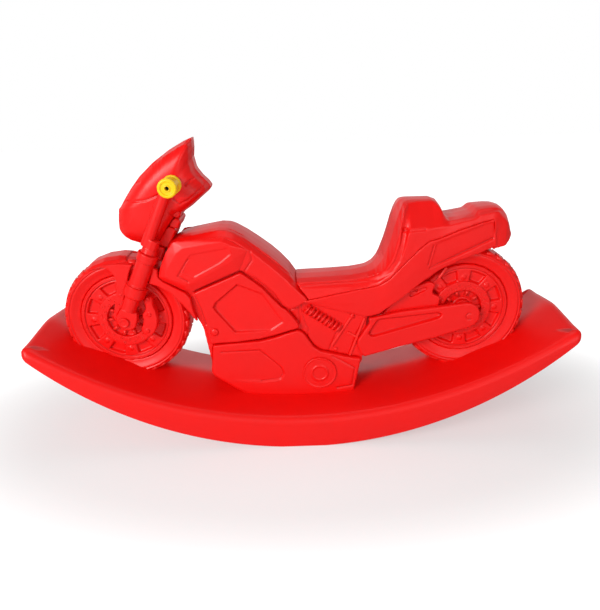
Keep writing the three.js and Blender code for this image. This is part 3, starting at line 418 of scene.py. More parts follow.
# The side panels with their sunken fields, the struts in front of them and the domed fixing plugs are
# relief in the same moulding. A line runs down each panel's front edge.
PANEL_VOXEL = 1.3 * MM
PLUG_VOXEL = 0.7 * MM
PANEL_FACE = 51
PANEL_LINES = [[(-187, 283), (-176, 252), (-170, 223)]]
PANEL_FIELD = [(-110, 298), (-151, 264), (-155, 255), (-150, 246), (-119, 205), (-54, 207), (-30, 223),
               (-66, 279)]
PANEL_FIELD_FACE = 47
PANEL_FIELD_DEPTH = 2.0
PANEL_FIELD_WALL = 5.0
WALL_OUTSIDE_SHARE = 0.3


def sunken(outline, face, depth, wall):
    """A field inside a side-view outline, on both flanks beyond a face, with sloping walls."""
    corners = np.array(outline + outline[:1], float)

    def mark(points):
        side_view = points[:, (0, 2)] / MM
        x, z = side_view.T
        inside = np.zeros(len(points), bool)
        for (x0, z0), (x1, z1) in zip(corners[:-1], corners[1:]):
            level_with_run = (z0 > z) != (z1 > z)
            left_of_run = ((x - x0) * (z1 - z0) < (x1 - x0) * (z - z0)) == (z1 > z0)
            inside ^= level_with_run & left_of_run
        within = np.where(inside, 1, -1) * path_distance(side_view, corners)
        sink(points, face, eased(within / wall + WALL_OUTSIDE_SHARE), depth)
    return mark


for side in SIDES:
    moulded_skin("side_cowl_" + side, PANEL_VOXEL,
                 marks=[pressed(PANEL_LINES, PANEL_FACE),
                        sunken(PANEL_FIELD, PANEL_FIELD_FACE, PANEL_FIELD_DEPTH, PANEL_FIELD_WALL)])
    moulded_skin("down_strut_" + side, PANEL_VOXEL)
    moulded_skin("cowl_plug_" + side, PLUG_VOXEL)


# The tank is the highest part of the body moulding, with a raised scoop on each flank. The mould cuts a
# pointed mark and a shallow pocket in each scoop, and two long lines in the tank's flank.
TANK_VOXEL = 1.6 * MM
TANK_SOFTENING = 5
TANK_FACE = 30
TANK_LINES = [
    [(-83, 356), (-81, 340), (-98, 317)],
    [(-205, 387), (-183, 391), (-140, 397), (-122, 394), (-99, 380), (-63, 350), (-33, 324), (-10, 302)],
]
SCOOP_FACE = 55
SCOOP_MARKS = [[(-190, 348), (-210, 318), (-194, 307)]]
SCOOP_POCKET = [(-203, 324), (-186, 356), (-120, 366), (-115, 354), (-136, 338), (-183, 314)]
SCOOP_POCKET_FACE = 50
SCOOP_POCKET_DEPTH = 1.4
SCOOP_POCKET_WALL = 4.0

moulded_skin("tank", TANK_VOXEL, TANK_SOFTENING, marks=[pressed(TANK_LINES, TANK_FACE)])
for side in SIDES:
    moulded_skin("tank_scoop_" + side, PANEL_VOXEL,
                 marks=[pressed(SCOOP_MARKS, SCOOP_FACE),
                        sunken(SCOOP_POCKET, SCOOP_POCKET_FACE, SCOOP_POCKET_DEPTH, SCOOP_POCKET_WALL)])


# The recess under the seat shows a shock absorber in relief: a coil of nine turns round its damper, the
# link beside it, two tubes and a strap, and a bolt head. All of it is the same moulded skin.
SPRING_VOXEL = 0.7 * MM
LINK_VOXEL = 0.8 * MM
SPRING_START = (9, 246)
SPRING_END = (71, 203)
SPRING_DEPTH = 44
SPRING_RADIUS = 9.0
SPRING_WIRE = 2.1
SPRING_TURNS = 9.0
SPRING_TURN_STEPS = 24
SPRING_WIRE_SIDES = 10
RECESS_TUBES = [[(97, 232), (57, 170)], [(117, 222), (90, 148)], [(86, 194), (104, 184)]]
TUBE_RADIUS = 2.6
TUBE_DEPTH = 44.5
TUBE_SIDES = 16
RECESS_BOLTS = [(64, 161)]
RECESS_BOLT_RADIUS = 4.2
RECESS_BOLT_RISE = 2.5
RECESS_BOLT_DEPTH = 44
BOLT_SEGMENTS = 14
BOLT_RINGS = 8


def growing_rule(name, sizes):
    """A geometry tree with the named sizes as inputs, and the outputs of its input node."""
    tree = bpy.data.node_groups.new(name, "GeometryNodeTree")
    tree.interface.new_socket("Geometry", in_out="INPUT", socket_type="NodeSocketGeometry")
    for label, kind in sizes.items():
        tree.interface.new_socket(label, in_out="INPUT", socket_type="NodeSocket" + kind)
    tree.interface.new_socket("Geometry", in_out="OUTPUT", socket_type="NodeSocketGeometry")
    return tree, add(tree, "NodeGroupInput").outputs


def finish_rule(tree, shape):
    """Ends a tree: its copies made real, shaded smooth and given the red skin."""
    real = add(tree, "GeometryNodeRealizeInstances", {"Geometry": shape})
    smooth = add(tree, "GeometryNodeSetShadeSmooth", {"Geometry": real.outputs[0]})
    finish = add(tree, "GeometryNodeSetMaterial",
                 {"Geometry": smooth.outputs[0], "Material": red_polyethylene})
    add(tree, "NodeGroupOutput", {"Geometry": finish.outputs[0]})


def grown(name, tree, sizes, base=None):
    """The tree's result as a plain piece of the moulding; base is the mesh that it starts from."""
    piece = bpy.data.objects.new(name, base or bpy.data.meshes.new(name))
    scene.collection.objects.link(piece)
    rule = piece.modifiers.new("rule", "NODES")
    rule.node_group = tree
    for socket in tree.interface.items_tree:
        if socket.in_out == "INPUT" and socket.name in sizes:
            rule[socket.identifier] = sizes[socket.name]
    result = bpy.data.meshes.new_from_object(piece.evaluated_get(bpy.context.evaluated_depsgraph_get()))
    piece.modifiers.clear()
    piece.data = result
    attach(piece, "root")


def flank_lines(name, paths, depth):
    """Side-view paths as edges on both flanks, at a distance from the middle."""
    places = []
    edges = []
    for sign in SIDES.values():
        for path in paths:
            first = len(places)
            places.extend((x * MM, sign * depth * MM, z * MM) for x, z in path)
            edges.extend((first + i, first + i + 1) for i in range(len(path) - 1))
    lines = bpy.data.meshes.new(name)
    lines.from_pydata(places, edges, [])
    return lines


coil_rule, coil = growing_rule("coil of a spring", {
    "Turns": "Float", "Radius": "Float", "Wire": "Float", "Length": "Float", "Place": "Vector",
    "Turn": "Vector"})
spiral = add(coil_rule, "GeometryNodeCurveSpiral",
             {"Resolution": SPRING_TURN_STEPS, "Rotations": coil["Turns"], "Start Radius": coil["Radius"],
              "End Radius": coil["Radius"], "Height": coil["Length"]})
wire = add(coil_rule, "GeometryNodeCurvePrimitiveCircle",
           {"Resolution": SPRING_WIRE_SIDES, "Radius": coil["Wire"]})
coiled = add(coil_rule, "GeometryNodeCurveToMesh",
             {"Curve": spiral.outputs[0], "Profile Curve": wire.outputs[0], "Fill Caps": True})
coil_turn = add(coil_rule, "FunctionNodeEulerToRotation", {"Euler": coil["Turn"]})
coil_in_place = add(coil_rule, "GeometryNodeTransform",
                    {"Geometry": coiled.outputs[0], "Translation": coil["Place"],
                     "Rotation": coil_turn.outputs[0]})
finish_rule(coil_rule, coil_in_place.outputs[0])

bead_rule, bead = growing_rule("bead along a path", {"Radius": "Float"})
bead_path = add(bead_rule, "GeometryNodeMeshToCurve", {"Mesh": bead["Geometry"]})
bead_round = add(bead_rule, "GeometryNodeCurvePrimitiveCircle",
                 {"Resolution": TUBE_SIDES, "Radius": bead["Radius"]})
bead_body = add(bead_rule, "GeometryNodeCurveToMesh",
                {"Curve": bead_path.outputs[0], "Profile Curve": bead_round.outputs[0], "Fill Caps": True})
finish_rule(bead_rule, bead_body.outputs[0])

bolt_rule, bolt = growing_rule("bolt heads on points", {"Radius": "Float", "Rise": "Float"})
bolt_dome = add(bolt_rule, "GeometryNodeMeshUVSphere",
                {"Segments": BOLT_SEGMENTS, "Rings": BOLT_RINGS, "Radius": bolt["Radius"]})
bolt_flat = add(bolt_rule, "ShaderNodeMath", {0: bolt["Rise"], 1: bolt["Radius"]}, operation="DIVIDE")
bolt_size = add(bolt_rule, "ShaderNodeCombineXYZ", {"X": 1.0, "Y": bolt_flat.outputs[0], "Z": 1.0})
bolt_heads = add(bolt_rule, "GeometryNodeInstanceOnPoints",
                 {"Points": bolt["Geometry"], "Instance": bolt_dome.outputs[0],
                  "Scale": bolt_size.outputs[0]})
finish_rule(bolt_rule, bolt_heads.outputs[0])

spring_start = Vector((SPRING_START[0], 0, SPRING_START[1])) * MM
spring_run = Vector((SPRING_END[0], 0, SPRING_END[1])) * MM - spring_start
spring_turn = Vector(spring_run.to_track_quat("Z", "Y").to_euler())
for side, sign in SIDES.items():
    grown("shock_coil_" + side, coil_rule, {
        "Turns": SPRING_TURNS, "Radius": SPRING_RADIUS * MM, "Wire": SPRING_WIRE * MM,
        "Length": spring_run.length, "Place": spring_start + Vector((0, sign * SPRING_DEPTH * MM, 0)),
        "Turn": spring_turn})
    moulded_skin("shock_spring_" + side, SPRING_VOXEL)
    moulded_skin("shock_link_" + side, LINK_VOXEL)
grown("recess_tubes", bead_rule, {"Radius": TUBE_RADIUS * MM},
      flank_lines("recess_tube_lines", RECESS_TUBES, TUBE_DEPTH))
grown("recess_bolts", bolt_rule, {"Radius": RECESS_BOLT_RADIUS * MM, "Rise": RECESS_BOLT_RISE * MM},
      flank_lines("recess_bolt_places", [[place] for place in RECESS_BOLTS], RECESS_BOLT_DEPTH))


# The seat, its backrest and tail are one swept form of the moulding, with the rear cowl under their
# crease. A broad shallow band follows the bench's lower edge, a short crease crosses the backrest's
# flank, and two lines frame the field of the cowl.
SEAT_VOXEL = 1.6 * MM
SEAT_SOFTENING = 5
SEAT_FACE = 44
SEAT_CREASES = [[(183, 382), (191, 384), (218, 385)]]
SEAT_CREASE_SIZE = (2.0, 1.8, 2.2)
SEAT_BAND = [(0, 291), (50, 294), (100, 295.5), (137, 299), (159, 313), (171, 332), (179, 358), (184, 384)]
SEAT_BAND_SIZE = (8.0, 1.8, 1.4)
TAIL_TOP = 392
TAIL_SOLE = [(340, 378, 378), (344, 362, 350), (350, 351.5, 343), (364, 348.6, 346.5), (371, 350.5, 352),
             (376, 353.3, 357), (380, 357, 364)]
TAIL_SHORT_RUN = (360, 380)
TAIL_SHORT = 4
TAIL_FORWARD_RUN = (339, 352, 372)
TAIL_FORWARD = 8
TAIL_FORWARD_FULL_SHARE = 0.5
COWL_VOXEL = 1.7 * MM
COWL_FACE = 36
COWL_LINES = [
    [(234, 357), (226, 322)],
    [(229, 316), (247, 324), (297, 346), (338, 364)],
]


def rounded_tail(points):
    """Brings the underside of the tail's end to one round sweep with the rear cowl's sole."""
    places, blunt, swept = np.array(TAIL_SOLE).T
    x, z = points[:, 0] / MM, points[:, 2] / MM
    sole = np.interp(x, places, blunt)
    share = np.clip((TAIL_TOP - z) / (TAIL_TOP - sole), 0.0, 1.0) * (x > places[0])
    points[:, 2] += share * (np.interp(x, places, swept) - sole) * MM
    points[:, 0] -= np.interp(x, TAIL_SHORT_RUN, (0, TAIL_SHORT)) * MM
    forward = np.interp(x, TAIL_FORWARD_RUN, (0, 1, 0)) * np.clip(share / TAIL_FORWARD_FULL_SHARE, 0.0, 1.0)
    points[:, 0] -= forward * TAIL_FORWARD * MM


moulded_skin("seat", SEAT_VOXEL, SEAT_SOFTENING,
             marks=[rounded_tail, pressed(SEAT_CREASES, SEAT_FACE, *SEAT_CREASE_SIZE),
                    pressed([SEAT_BAND], SEAT_FACE, *SEAT_BAND_SIZE)])
moulded_skin("rear_cowl", COWL_VOXEL, marks=[pressed(COWL_LINES, COWL_FACE)])


# The swing arms hold the rear wheel. Each is moulded with a long sunken slot and a small round mark in its
# head, and the chain guard behind it with slots and a small strut. The axle in them is zinc-plated steel.
ARM_FACE = 49
ARM_SLOT = [(140, 221), (250, 231), (257, 226), (252, 220), (130, 186), (122, 193)]
ARM_SLOT_FACE = 44
ARM_SLOT_DEPTH = 3.0
ARM_SLOT_WALL = 4.5
ARM_MARKS = [[(309, 227), (304, 228), (300, 224), (300, 219), (304, 215), (309, 216)]]
ARM_MARK_SIZE = (0.8, 1.6, 1.2)
GUARD_VOXEL = 1.1 * MM
GUARD_FACE = 38
GUARD_SLOTS = [[(184, 271), (211, 270)], [(234, 300), (247, 294)]]
GUARD_SLOT_SIZE = (4.0, 3.0)
GUARD_STRUTS = [[(262, 311), (250, 293)]]
GUARD_STRUT_DEPTH = 40

for side in SIDES:
    moulded_skin("swing_arm_" + side, PANEL_VOXEL,
                 marks=[pressed(ARM_MARKS, ARM_FACE, *ARM_MARK_SIZE),
                        sunken(ARM_SLOT, ARM_SLOT_FACE, ARM_SLOT_DEPTH, ARM_SLOT_WALL)])
    moulded_skin("chain_guard_" + side, GUARD_VOXEL,
                 marks=[pressed(GUARD_SLOTS, GUARD_FACE, *GUARD_SLOT_SIZE)])
grown("guard_struts", bead_rule, {"Radius": TUBE_RADIUS * MM},
      flank_lines("guard_strut_lines", GUARD_STRUTS, GUARD_STRUT_DEPTH))
steel_finish("rear_axle", zinc_steel)


# The wheels are sunk in the deck and moulded fast. Rim, tyre and brake disc copy cast and turned parts:
# ring lines and eight windows with pegs in the rim, lugs round the hub, a tyre with tread blocks, and a
# disc with two rows of drilled eyelets.
WHEELS = {"front": (-319.1, 230.0), "rear": (296.8, 230.0)}
WHEEL_VOXEL = 1.3 * MM
TYRE_VOXEL = 1.7 * MM
DISC_VOXEL = 0.9 * MM
RIM_RINGS = [75.8, 79.4, 83.0]
RIM_FACE = 20
TYRE_RINGS = [103.0]
TYRE_FACE = 30
RING_HALF_WIDTH = 1.6
RING_DEPTH = 1.5
WINDOW_COUNT = 8
WINDOW_REACH = (50.5, 72.0)
WINDOW_HALF_ANGLE = 12
WINDOW_DEPTH = 2.2
WINDOW_WALL = 0.9
WINDOW_WALL_OUTSIDE_SHARE = 0.5
SIDE_BAND_REACH = 106.0
SIDE_BAND_WALL = 20
SIDE_BAND_DEPTH = 4.0
TREAD_FROM = 98
TREAD_SHOULDER = 14
TREAD_DROP = 5.2
TREAD_COUNT = 34
TREAD_RADIUS = 110.4
TREAD_BLOCK = (6, 17, 14)
TREAD_OFFSET = 25
TREAD_LEAN = 16
LUG_COUNT = 10
LUG_RADIUS = 29
LUG_BLOCK = (11, 4.5, 7)
LUG_OFFSET = 28
BLOCK_TILT_RADIANS = 0.25
ROW_STAGGER = 90 / TREAD_COUNT
PEG_RING_RADIUS = 59.6
PEG_RING = (3.6, 0.9)
RIM_SURFACE = 31.2
DISC_FACE = 35.0
EYELET_ROWS = [(39.5, 16, 0.0), (45.8, 16, 11.0)]
EYELET_RADIUS = 2.2
EYELET_WIRE = 0.9
EYELET_SIDES = 12
EYELET_WIRE_SIDES = 5
UPRIGHT = Euler((math.pi / 2, 0, 0))


def from_hub(points, hub):
    """Each point's side-view place seen from a hub, and its distance from it, in millimetres."""
    side_view = points[:, (0, 2)] / MM - np.array(hub)
    return side_view, np.linalg.norm(side_view, axis=1)


def draw_in(points, side_view, reach, drop):
    """Moves points towards the hub that they were seen from, each by its own drop."""
    points[:, (0, 2)] -= side_view / reach[:, None] * drop[:, None] * MM


def ring_lines(hub, radii, face):
    """Fine grooves round a hub, on both flanks beyond a face."""
    def mark(points):
        reach = from_hub(points, hub)[1]
        for radius in radii:
            sink(points, face, np.clip(RING_HALF_WIDTH - np.abs(reach - radius), 0.0, 1.0), RING_DEPTH)
    return mark


def sunken_windows(hub):
    """Deepens the rim's windows between their spokes."""
    def mark(points):
        side_view, reach = from_hub(points, hub)
        pitch = 360 / WINDOW_COUNT
        bearing = np.degrees(np.arctan2(side_view[:, 1], side_view[:, 0])) % pitch - pitch / 2
        to_spoke = np.radians(WINDOW_HALF_ANGLE - np.abs(bearing)) * reach
        to_ring = np.minimum(reach - WINDOW_REACH[0], WINDOW_REACH[1] - reach)
        share = np.minimum(to_spoke, to_ring) / WINDOW_WALL + WINDOW_WALL_OUTSIDE_SHARE
        sink(points, RIM_FACE, np.clip(share, 0.0, 1.0), WINDOW_DEPTH)
    return mark


def side_band(hub):
    """Sinks the tyre's side next to the rim, so that the rim's lip stands free."""
    def mark(points):
        reach = from_hub(points, hub)[1]
        sink(points, RIM_FACE, eased((SIDE_BAND_REACH - reach) / SIDE_BAND_WALL), SIDE_BAND_DEPTH)
    return mark


def lowered_tread(hub):
    """Rounds the tyre down towards its tread, where the blocks fill it up again."""
    def mark(points):
        side_view, reach = from_hub(points, hub)
        share = np.clip((reach - TREAD_FROM) / TREAD_SHOULDER, 0.0, 1.0)
        draw_in(points, side_view, reach, share * TREAD_DROP)
    return mark


tread_rule, tread = growing_rule("blocks round a tyre", {
    "Count": "Int", "Radius": "Float", "Block": "Vector", "Offset": "Float", "Lean": "Float",
    "Tilt": "Float", "Stagger": "Float", "Hub": "Vector"})
tread_line = add(tread_rule, "GeometryNodeMeshCircle",
                 {"Vertices": tread["Count"], "Radius": tread["Radius"]})
block = add(tread_rule, "GeometryNodeMeshCube",
            {"Size": tread["Block"], "Vertices X": 2, "Vertices Y": 3, "Vertices Z": 3})
place_number = add(tread_rule, "GeometryNodeInputIndex")
step = add(tread_rule, "ShaderNodeMath", {0: math.tau, 1: tread["Count"]}, operation="DIVIDE")
tread_rows = add(tread_rule, "GeometryNodeJoinGeometry")
for sign in SIDES.values():
    tilt = add(tread_rule, "ShaderNodeMath", {0: tread["Tilt"], 1: sign}, operation="MULTIPLY")
    lean = add(tread_rule, "ShaderNodeMath", {0: tread["Lean"], 1: -sign}, operation="MULTIPLY")
    angle = add(tread_rule, "ShaderNodeMath", {0: place_number.outputs[0], 1: step.outputs[0]},
                operation="MULTIPLY")
    way = add(tread_rule, "ShaderNodeCombineXYZ",
              {"X": tilt.outputs[0], "Y": lean.outputs[0], "Z": angle.outputs[0]})
    facing = add(tread_rule, "FunctionNodeEulerToRotation", {"Euler": way.outputs[0]})
    row = add(tread_rule, "GeometryNodeInstanceOnPoints",
              {"Points": tread_line.outputs[0], "Instance": block.outputs[0],
               "Rotation": facing.outputs[0]})
    shift = add(tread_rule, "ShaderNodeMath", {0: tread["Offset"], 1: sign}, operation="MULTIPLY")
    aside = add(tread_rule, "ShaderNodeCombineXYZ", {"Z": shift.outputs[0]})
    stagger = add(tread_rule, "ShaderNodeMath", {0: tread["Stagger"], 1: sign}, operation="MULTIPLY")
    stagger_way = add(tread_rule, "ShaderNodeCombineXYZ", {"Z": stagger.outputs[0]})
    stagger_turn = add(tread_rule, "FunctionNodeEulerToRotation", {"Euler": stagger_way.outputs[0]})
    moved = add(tread_rule, "GeometryNodeTransform",
                {"Geometry": row.outputs[0], "Translation": aside.outputs[0],
                 "Rotation": stagger_turn.outputs[0]})
    tread_rule.links.new(moved.outputs[0], tread_rows.inputs[0])
tread_upright = add(tread_rule, "GeometryNodeTransform",
                    {"Geometry": tread_rows.outputs[0], "Translation": tread["Hub"], "Rotation": UPRIGHT})
finish_rule(tread_rule, tread_upright.outputs[0])

eyelet_rule, eyelet = growing_rule("eyelets round a disc", {
    "Count": "Int", "Radius": "Float", "Eyelet": "Float", "Wire": "Float", "Start": "Float",
    "Depth": "Float", "Hub": "Vector"})
eyelet_line = add(eyelet_rule, "GeometryNodeMeshCircle",
                  {"Vertices": eyelet["Count"], "Radius": eyelet["Radius"]})
eyelet_round = add(eyelet_rule, "GeometryNodeCurvePrimitiveCircle",
                   {"Resolution": EYELET_SIDES, "Radius": eyelet["Eyelet"]})
eyelet_wire = add(eyelet_rule, "GeometryNodeCurvePrimitiveCircle",
                  {"Resolution": EYELET_WIRE_SIDES, "Radius": eyelet["Wire"]})
eyelet_mesh = add(eyelet_rule, "GeometryNodeCurveToMesh",
                  {"Curve": eyelet_round.outputs[0], "Profile Curve": eyelet_wire.outputs[0]})
eyelets = add(eyelet_rule, "GeometryNodeInstanceOnPoints",
              {"Points": eyelet_line.outputs[0], "Instance": eyelet_mesh.outputs[0]})
start = add(eyelet_rule, "ShaderNodeCombineXYZ", {"Z": eyelet["Start"]})
start_turn = add(eyelet_rule, "FunctionNodeEulerToRotation", {"Euler": start.outputs[0]})
eyelet_sides = add(eyelet_rule, "GeometryNodeJoinGeometry")
for sign in SIDES.values():
    depth = add(eyelet_rule, "ShaderNodeMath", {0: eyelet["Depth"], 1: sign}, operation="MULTIPLY")
    out = add(eyelet_rule, "ShaderNodeCombineXYZ", {"Z": depth.outputs[0]})
    placed = add(eyelet_rule, "GeometryNodeTransform",
                 {"Geometry": eyelets.outputs[0], "Translation": out.outputs[0],
                  "Rotation": start_turn.outputs[0]})
    eyelet_rule.links.new(placed.outputs[0], eyelet_sides.inputs[0])
eyelet_upright = add(eyelet_rule, "GeometryNodeTransform",
                     {"Geometry": eyelet_sides.outputs[0], "Translation": eyelet["Hub"],
                      "Rotation": UPRIGHT})
finish_rule(eyelet_rule, eyelet_upright.outputs[0])

for end, hub in WHEELS.items():
    moulded_skin(end + "_wheel", WHEEL_VOXEL,
                 marks=[sunken_windows(hub), ring_lines(hub, RIM_RINGS, RIM_FACE)])
    moulded_skin(end + "_tyre", TYRE_VOXEL,
                 marks=[lowered_tread(hub), side_band(hub), ring_lines(hub, TYRE_RINGS, TYRE_FACE)])
    hub_place = Vector((hub[0] * MM, 0, hub[1] * MM))
    rows_of_blocks = {"Tilt": BLOCK_TILT_RADIANS, "Stagger": math.radians(ROW_STAGGER), "Hub": hub_place}
    grown(end + "_tread", tread_rule, rows_of_blocks | {
        "Count": TREAD_COUNT, "Radius": TREAD_RADIUS * MM, "Block": Vector(TREAD_BLOCK) * MM,
        "Offset": TREAD_OFFSET * MM, "Lean": math.radians(TREAD_LEAN)})
    grown(end + "_hub_lugs", tread_rule, rows_of_blocks | {
        "Count": LUG_COUNT, "Radius": LUG_RADIUS * MM, "Block": Vector(LUG_BLOCK) * MM,
        "Offset": LUG_OFFSET * MM, "Lean": 0.0})
    grown(end + "_peg_rings", eyelet_rule, {
        "Count": WINDOW_COUNT, "Radius": PEG_RING_RADIUS * MM, "Eyelet": PEG_RING[0] * MM,
        "Wire": PEG_RING[1] * MM, "Start": 0.0, "Depth": RIM_SURFACE * MM, "Hub": hub_place})
    for row_number, (radius, count, start_angle) in enumerate(EYELET_ROWS, 1):
        grown(f"{end}_eyelets_{row_number}", eyelet_rule, {
            "Count": count, "Radius": radius * MM, "Eyelet": EYELET_RADIUS * MM,
            "Wire": EYELET_WIRE * MM, "Start": math.radians(start_angle), "Depth": DISC_FACE * MM,
            "Hub": hub_place})
    for side in SIDES:
        moulded_skin(f"{end}_disc_{side}", DISC_VOXEL)


# The fork is a pair of stepped legs with collars, up to the handlebar, moulded in the red skin like all
# that hangs on it. The shoes at their feet hold the front axle, the callipers grip the discs, and the
# fender is fixed to the legs with small bolts.
LEG_VOXEL = 1.1 * MM
SHOE_VOXEL = 0.9 * MM
CALLIPER_VOXEL = 0.9 * MM
FENDER_VOXEL = 1.3 * MM
AXLE_VOXEL = 1.0 * MM
FORK_FOOT = (WHEELS["front"][0], 0, WHEELS["front"][1])
FORK_SLOPE = (0.4322, 0, 0.9018)
FORK_SPREAD = 54
LEG_PROFILE = [(30, 13.4), (56, 13.4), (59.5, 19.4), (78.5, 19.4), (81.5, 15.4), (126, 15.4), (129, 18.0),
               (142, 18.0), (145, 14.0), (152, 13.0)]
LEG_REACH = 19
LEG_STEP = 1.5
LEG_FLAT_FROM = 0.86
LEG_FLAT_KEPT = 0.05
CALLIPER_FACE = 46
CALLIPER_GROOVES = [[(-288, 248), (-284, 234), (-292, 217)], [(-292, 246), (-289, 234), (-295, 221)]]
CALLIPER_GROOVE_SIZE = (1.0, 1.6, 1.2)
FENDER_FACE = 33
FENDER_LINES = [[(-348, 338), (-330, 341), (-304, 348)]]
FENDER_LINE_WIDTH = 2.0
FENDER_DROP = 9.0
FENDER_DROP_FROM = 102
FENDER_DROP_OVER = 18
STAY_BOLTS = [(-321, 280), (-327, 263)]
STAY_BOLT_RADIUS = 2.4
STAY_BOLT_RISE = 1.3
STAY_BOLT_DEPTH = 41


def turned_leg(points):
    """Makes the fork leg's slider round, with its two collars, where the model has eight flats."""
    slope = np.array(FORK_SLOPE)
    from_foot = points / MM - np.array(FORK_FOOT)
    from_foot[:, 1] -= np.sign(points[:, 1]) * FORK_SPREAD
    along = from_foot @ slope
    from_axis = from_foot - along[:, None] * slope
    reach = np.linalg.norm(from_axis, axis=1)
    stations, radii = np.array(LEG_PROFILE).T
    slider = (reach < LEG_REACH) & (along > stations[0]) & (along < stations[-1])
    along, from_axis, reach = along[slider], from_axis[slider], reach[slider]
    station = (along / LEG_STEP).astype(int)
    widest = np.zeros(station.max() + 1)
    np.maximum.at(widest, station, reach)
    share = reach / widest[station]
    share = np.where(share > LEG_FLAT_FROM, 1 - LEG_FLAT_KEPT * (1 - share), share)
    wanted = share * np.interp(along, stations, radii)
    points[slider] += (wanted / reach - 1)[:, None] * from_axis * MM


def lowered_fender(points):
    """Brings the fender's crown down close over the tyre."""
    side_view, reach = from_hub(points, WHEELS["front"])
    draw_in(points, side_view, reach, eased((reach - FENDER_DROP_FROM) / FENDER_DROP_OVER) * FENDER_DROP)


for side in SIDES:
    moulded_skin("fork_leg_" + side, LEG_VOXEL, marks=[turned_leg])
    moulded_skin("fork_shoe_" + side, SHOE_VOXEL)
    moulded_skin("calliper_" + side, CALLIPER_VOXEL,
                 marks=[pressed(CALLIPER_GROOVES, CALLIPER_FACE, *CALLIPER_GROOVE_SIZE)])
moulded_skin("front_fender", FENDER_VOXEL,
             marks=[pressed(FENDER_LINES, FENDER_FACE, FENDER_LINE_WIDTH), lowered_fender])
moulded_skin("front_axle", AXLE_VOXEL)
grown("stay_bolts", bolt_rule, {"Radius": STAY_BOLT_RADIUS * MM, "Rise": STAY_BOLT_RISE * MM},
      flank_lines("stay_bolt_places", [[place] for place in STAY_BOLTS], STAY_BOLT_DEPTH))


# The steering head is a stack of blocks behind the windscreen. The screen and nose are one domed form of
# the moulding, with creases and, behind each grip, a rounded recess for a child's knuckles.
HEAD_VOXEL = 1.1 * MM
FAIRING_VOXEL = 1.6 * MM
FAIRING_SOFTENING = 4
FAIRING_FACE = 12
FAIRING_LINES = [
    [(-293, 445), (-255, 448), (-230, 457)],
    [(-273, 473), (-262, 477)],
    [(-185, 471), (-176, 479), (-169, 482), (-160, 477), (-157, 469), (-166, 459), (-183, 446),
     (-197, 440), (-206, 448)],
]
FAIRING_LINE_WIDTH = 1.6
FAIRING_HEART = (-231, 445)
FAIRING_HALF = 46
FAIRING_EDGE_SHARE = 0.46
FAIRING_SWELL = 4.8
FAIRING_SLIM = 0.42
FAIRING_SLIM_FROM = 0.91
FAIRING_SLIM_OVER = 0.07
FAIRING_TRAIL_FROM = -5
FAIRING_TRAIL_OVER = 15
FAIRING_FLANK_SHARE = 0.8
FAIRING_RIM_FROM = 0.955
FAIRING_RIM_OVER = 0.03
BEARING_COUNT = 180


def domed(points):
    """Gives the screen's flanks one smooth dome from its heart out to its edge."""
    side_view, reach = from_hub(points, FAIRING_HEART)
    bearing = np.degrees(np.arctan2(side_view[:, 1], side_view[:, 0])) * BEARING_COUNT / 360
    outermost = np.zeros(BEARING_COUNT)
    np.maximum.at(outermost, np.round(bearing).astype(int) % BEARING_COUNT, reach)
    edge = np.interp(bearing % BEARING_COUNT, np.arange(BEARING_COUNT + 1),
                     np.append(outermost, outermost[0]))
    share = np.clip(reach / edge, 0.0, 1.0)
    trailing = np.clip((side_view[:, 0] - FAIRING_TRAIL_FROM) / FAIRING_TRAIL_OVER, 0.0, 1.0)
    slimmed = np.clip((share - FAIRING_SLIM_FROM) / FAIRING_SLIM_OVER, 0.0, 1.0)
    dome = FAIRING_HALF * MM * (1 - (1 - FAIRING_EDGE_SHARE) * share ** FAIRING_SWELL)
    flank = np.abs(points[:, 1]) > FAIRING_FLANK_SHARE * dome
    rim_share = np.clip((share - FAIRING_RIM_FROM) / FAIRING_RIM_OVER, 0.0, 1.0)
    smooth = rim_share * points[:, 1] + (1 - rim_share) * np.sign(points[:, 1]) * dome
    points[:, 1] = np.where(flank, smooth, points[:, 1]) * (1 - FAIRING_SLIM * trailing * slimmed)


for node in ("head_tube", "upper_clamp", "lower_clamp", "bar_riser"):
    moulded_skin(node, HEAD_VOXEL)
moulded_skin("fairing", FAIRING_VOXEL, FAIRING_SOFTENING,
             marks=[domed, pressed(FAIRING_LINES, FAIRING_FACE, FAIRING_LINE_WIDTH)])


# The grips are spools injection moulded in yellow polyethylene, a little glossier than the body. Each is
# pushed over an end of the handlebar rod and turns on it.
YELLOW_SKIN = "#FFD414"
YELLOW_SKIN_DEEP = "#F8C80C"
YELLOW_RUBBED = "#FFE056"
# A darker yellow painted into the grips' creases and hollows as shade.
YELLOW_CREVICE_SHADE = "#D9A306"
YELLOW_ROUGHNESS = 0.32
GRIP_VOXEL = 0.8 * MM
GRIP_SOFTENING = 2

yellow_polyethylene = moulded_plastic("injection moulded PE yellow", YELLOW_SKIN, YELLOW_SKIN_DEEP,
                                      YELLOW_RUBBED, YELLOW_CREVICE_SHADE, YELLOW_ROUGHNESS)
for side in SIDES:
    moulded_skin("grip_" + side, GRIP_VOXEL, GRIP_SOFTENING,
                 material=yellow_polyethylene, body="grip_" + side)


# The handlebar is a steel rod that runs through the fork legs and the screen and ends deep in each grip's
# bore. It is coloured near black with a faint brown drift and a dull skin, which hides most of the metal:
# painted shade, so that each grip's bore reads dark.
ROD_SHADE_BLACK = "#0E0D0C"
ROD_SHADE_BROWN = "#1B1612"
ROD_SHADE_DRIFT = 4 * MM
ROD_ROUGHNESS = (0.6, 0.6)
ROD_METALLIC = 0.3

# The rod's near-black steel is painted shade for the grips' bores.
bore_shade_steel = two_tone_steel("black steel as painted bore shade", ROD_SHADE_BLACK, ROD_SHADE_BROWN, ROD_SHADE_DRIFT, ROD_ROUGHNESS,
                           ROD_METALLIC)
steel_finish("handlebar_rod", bore_shade_steel)


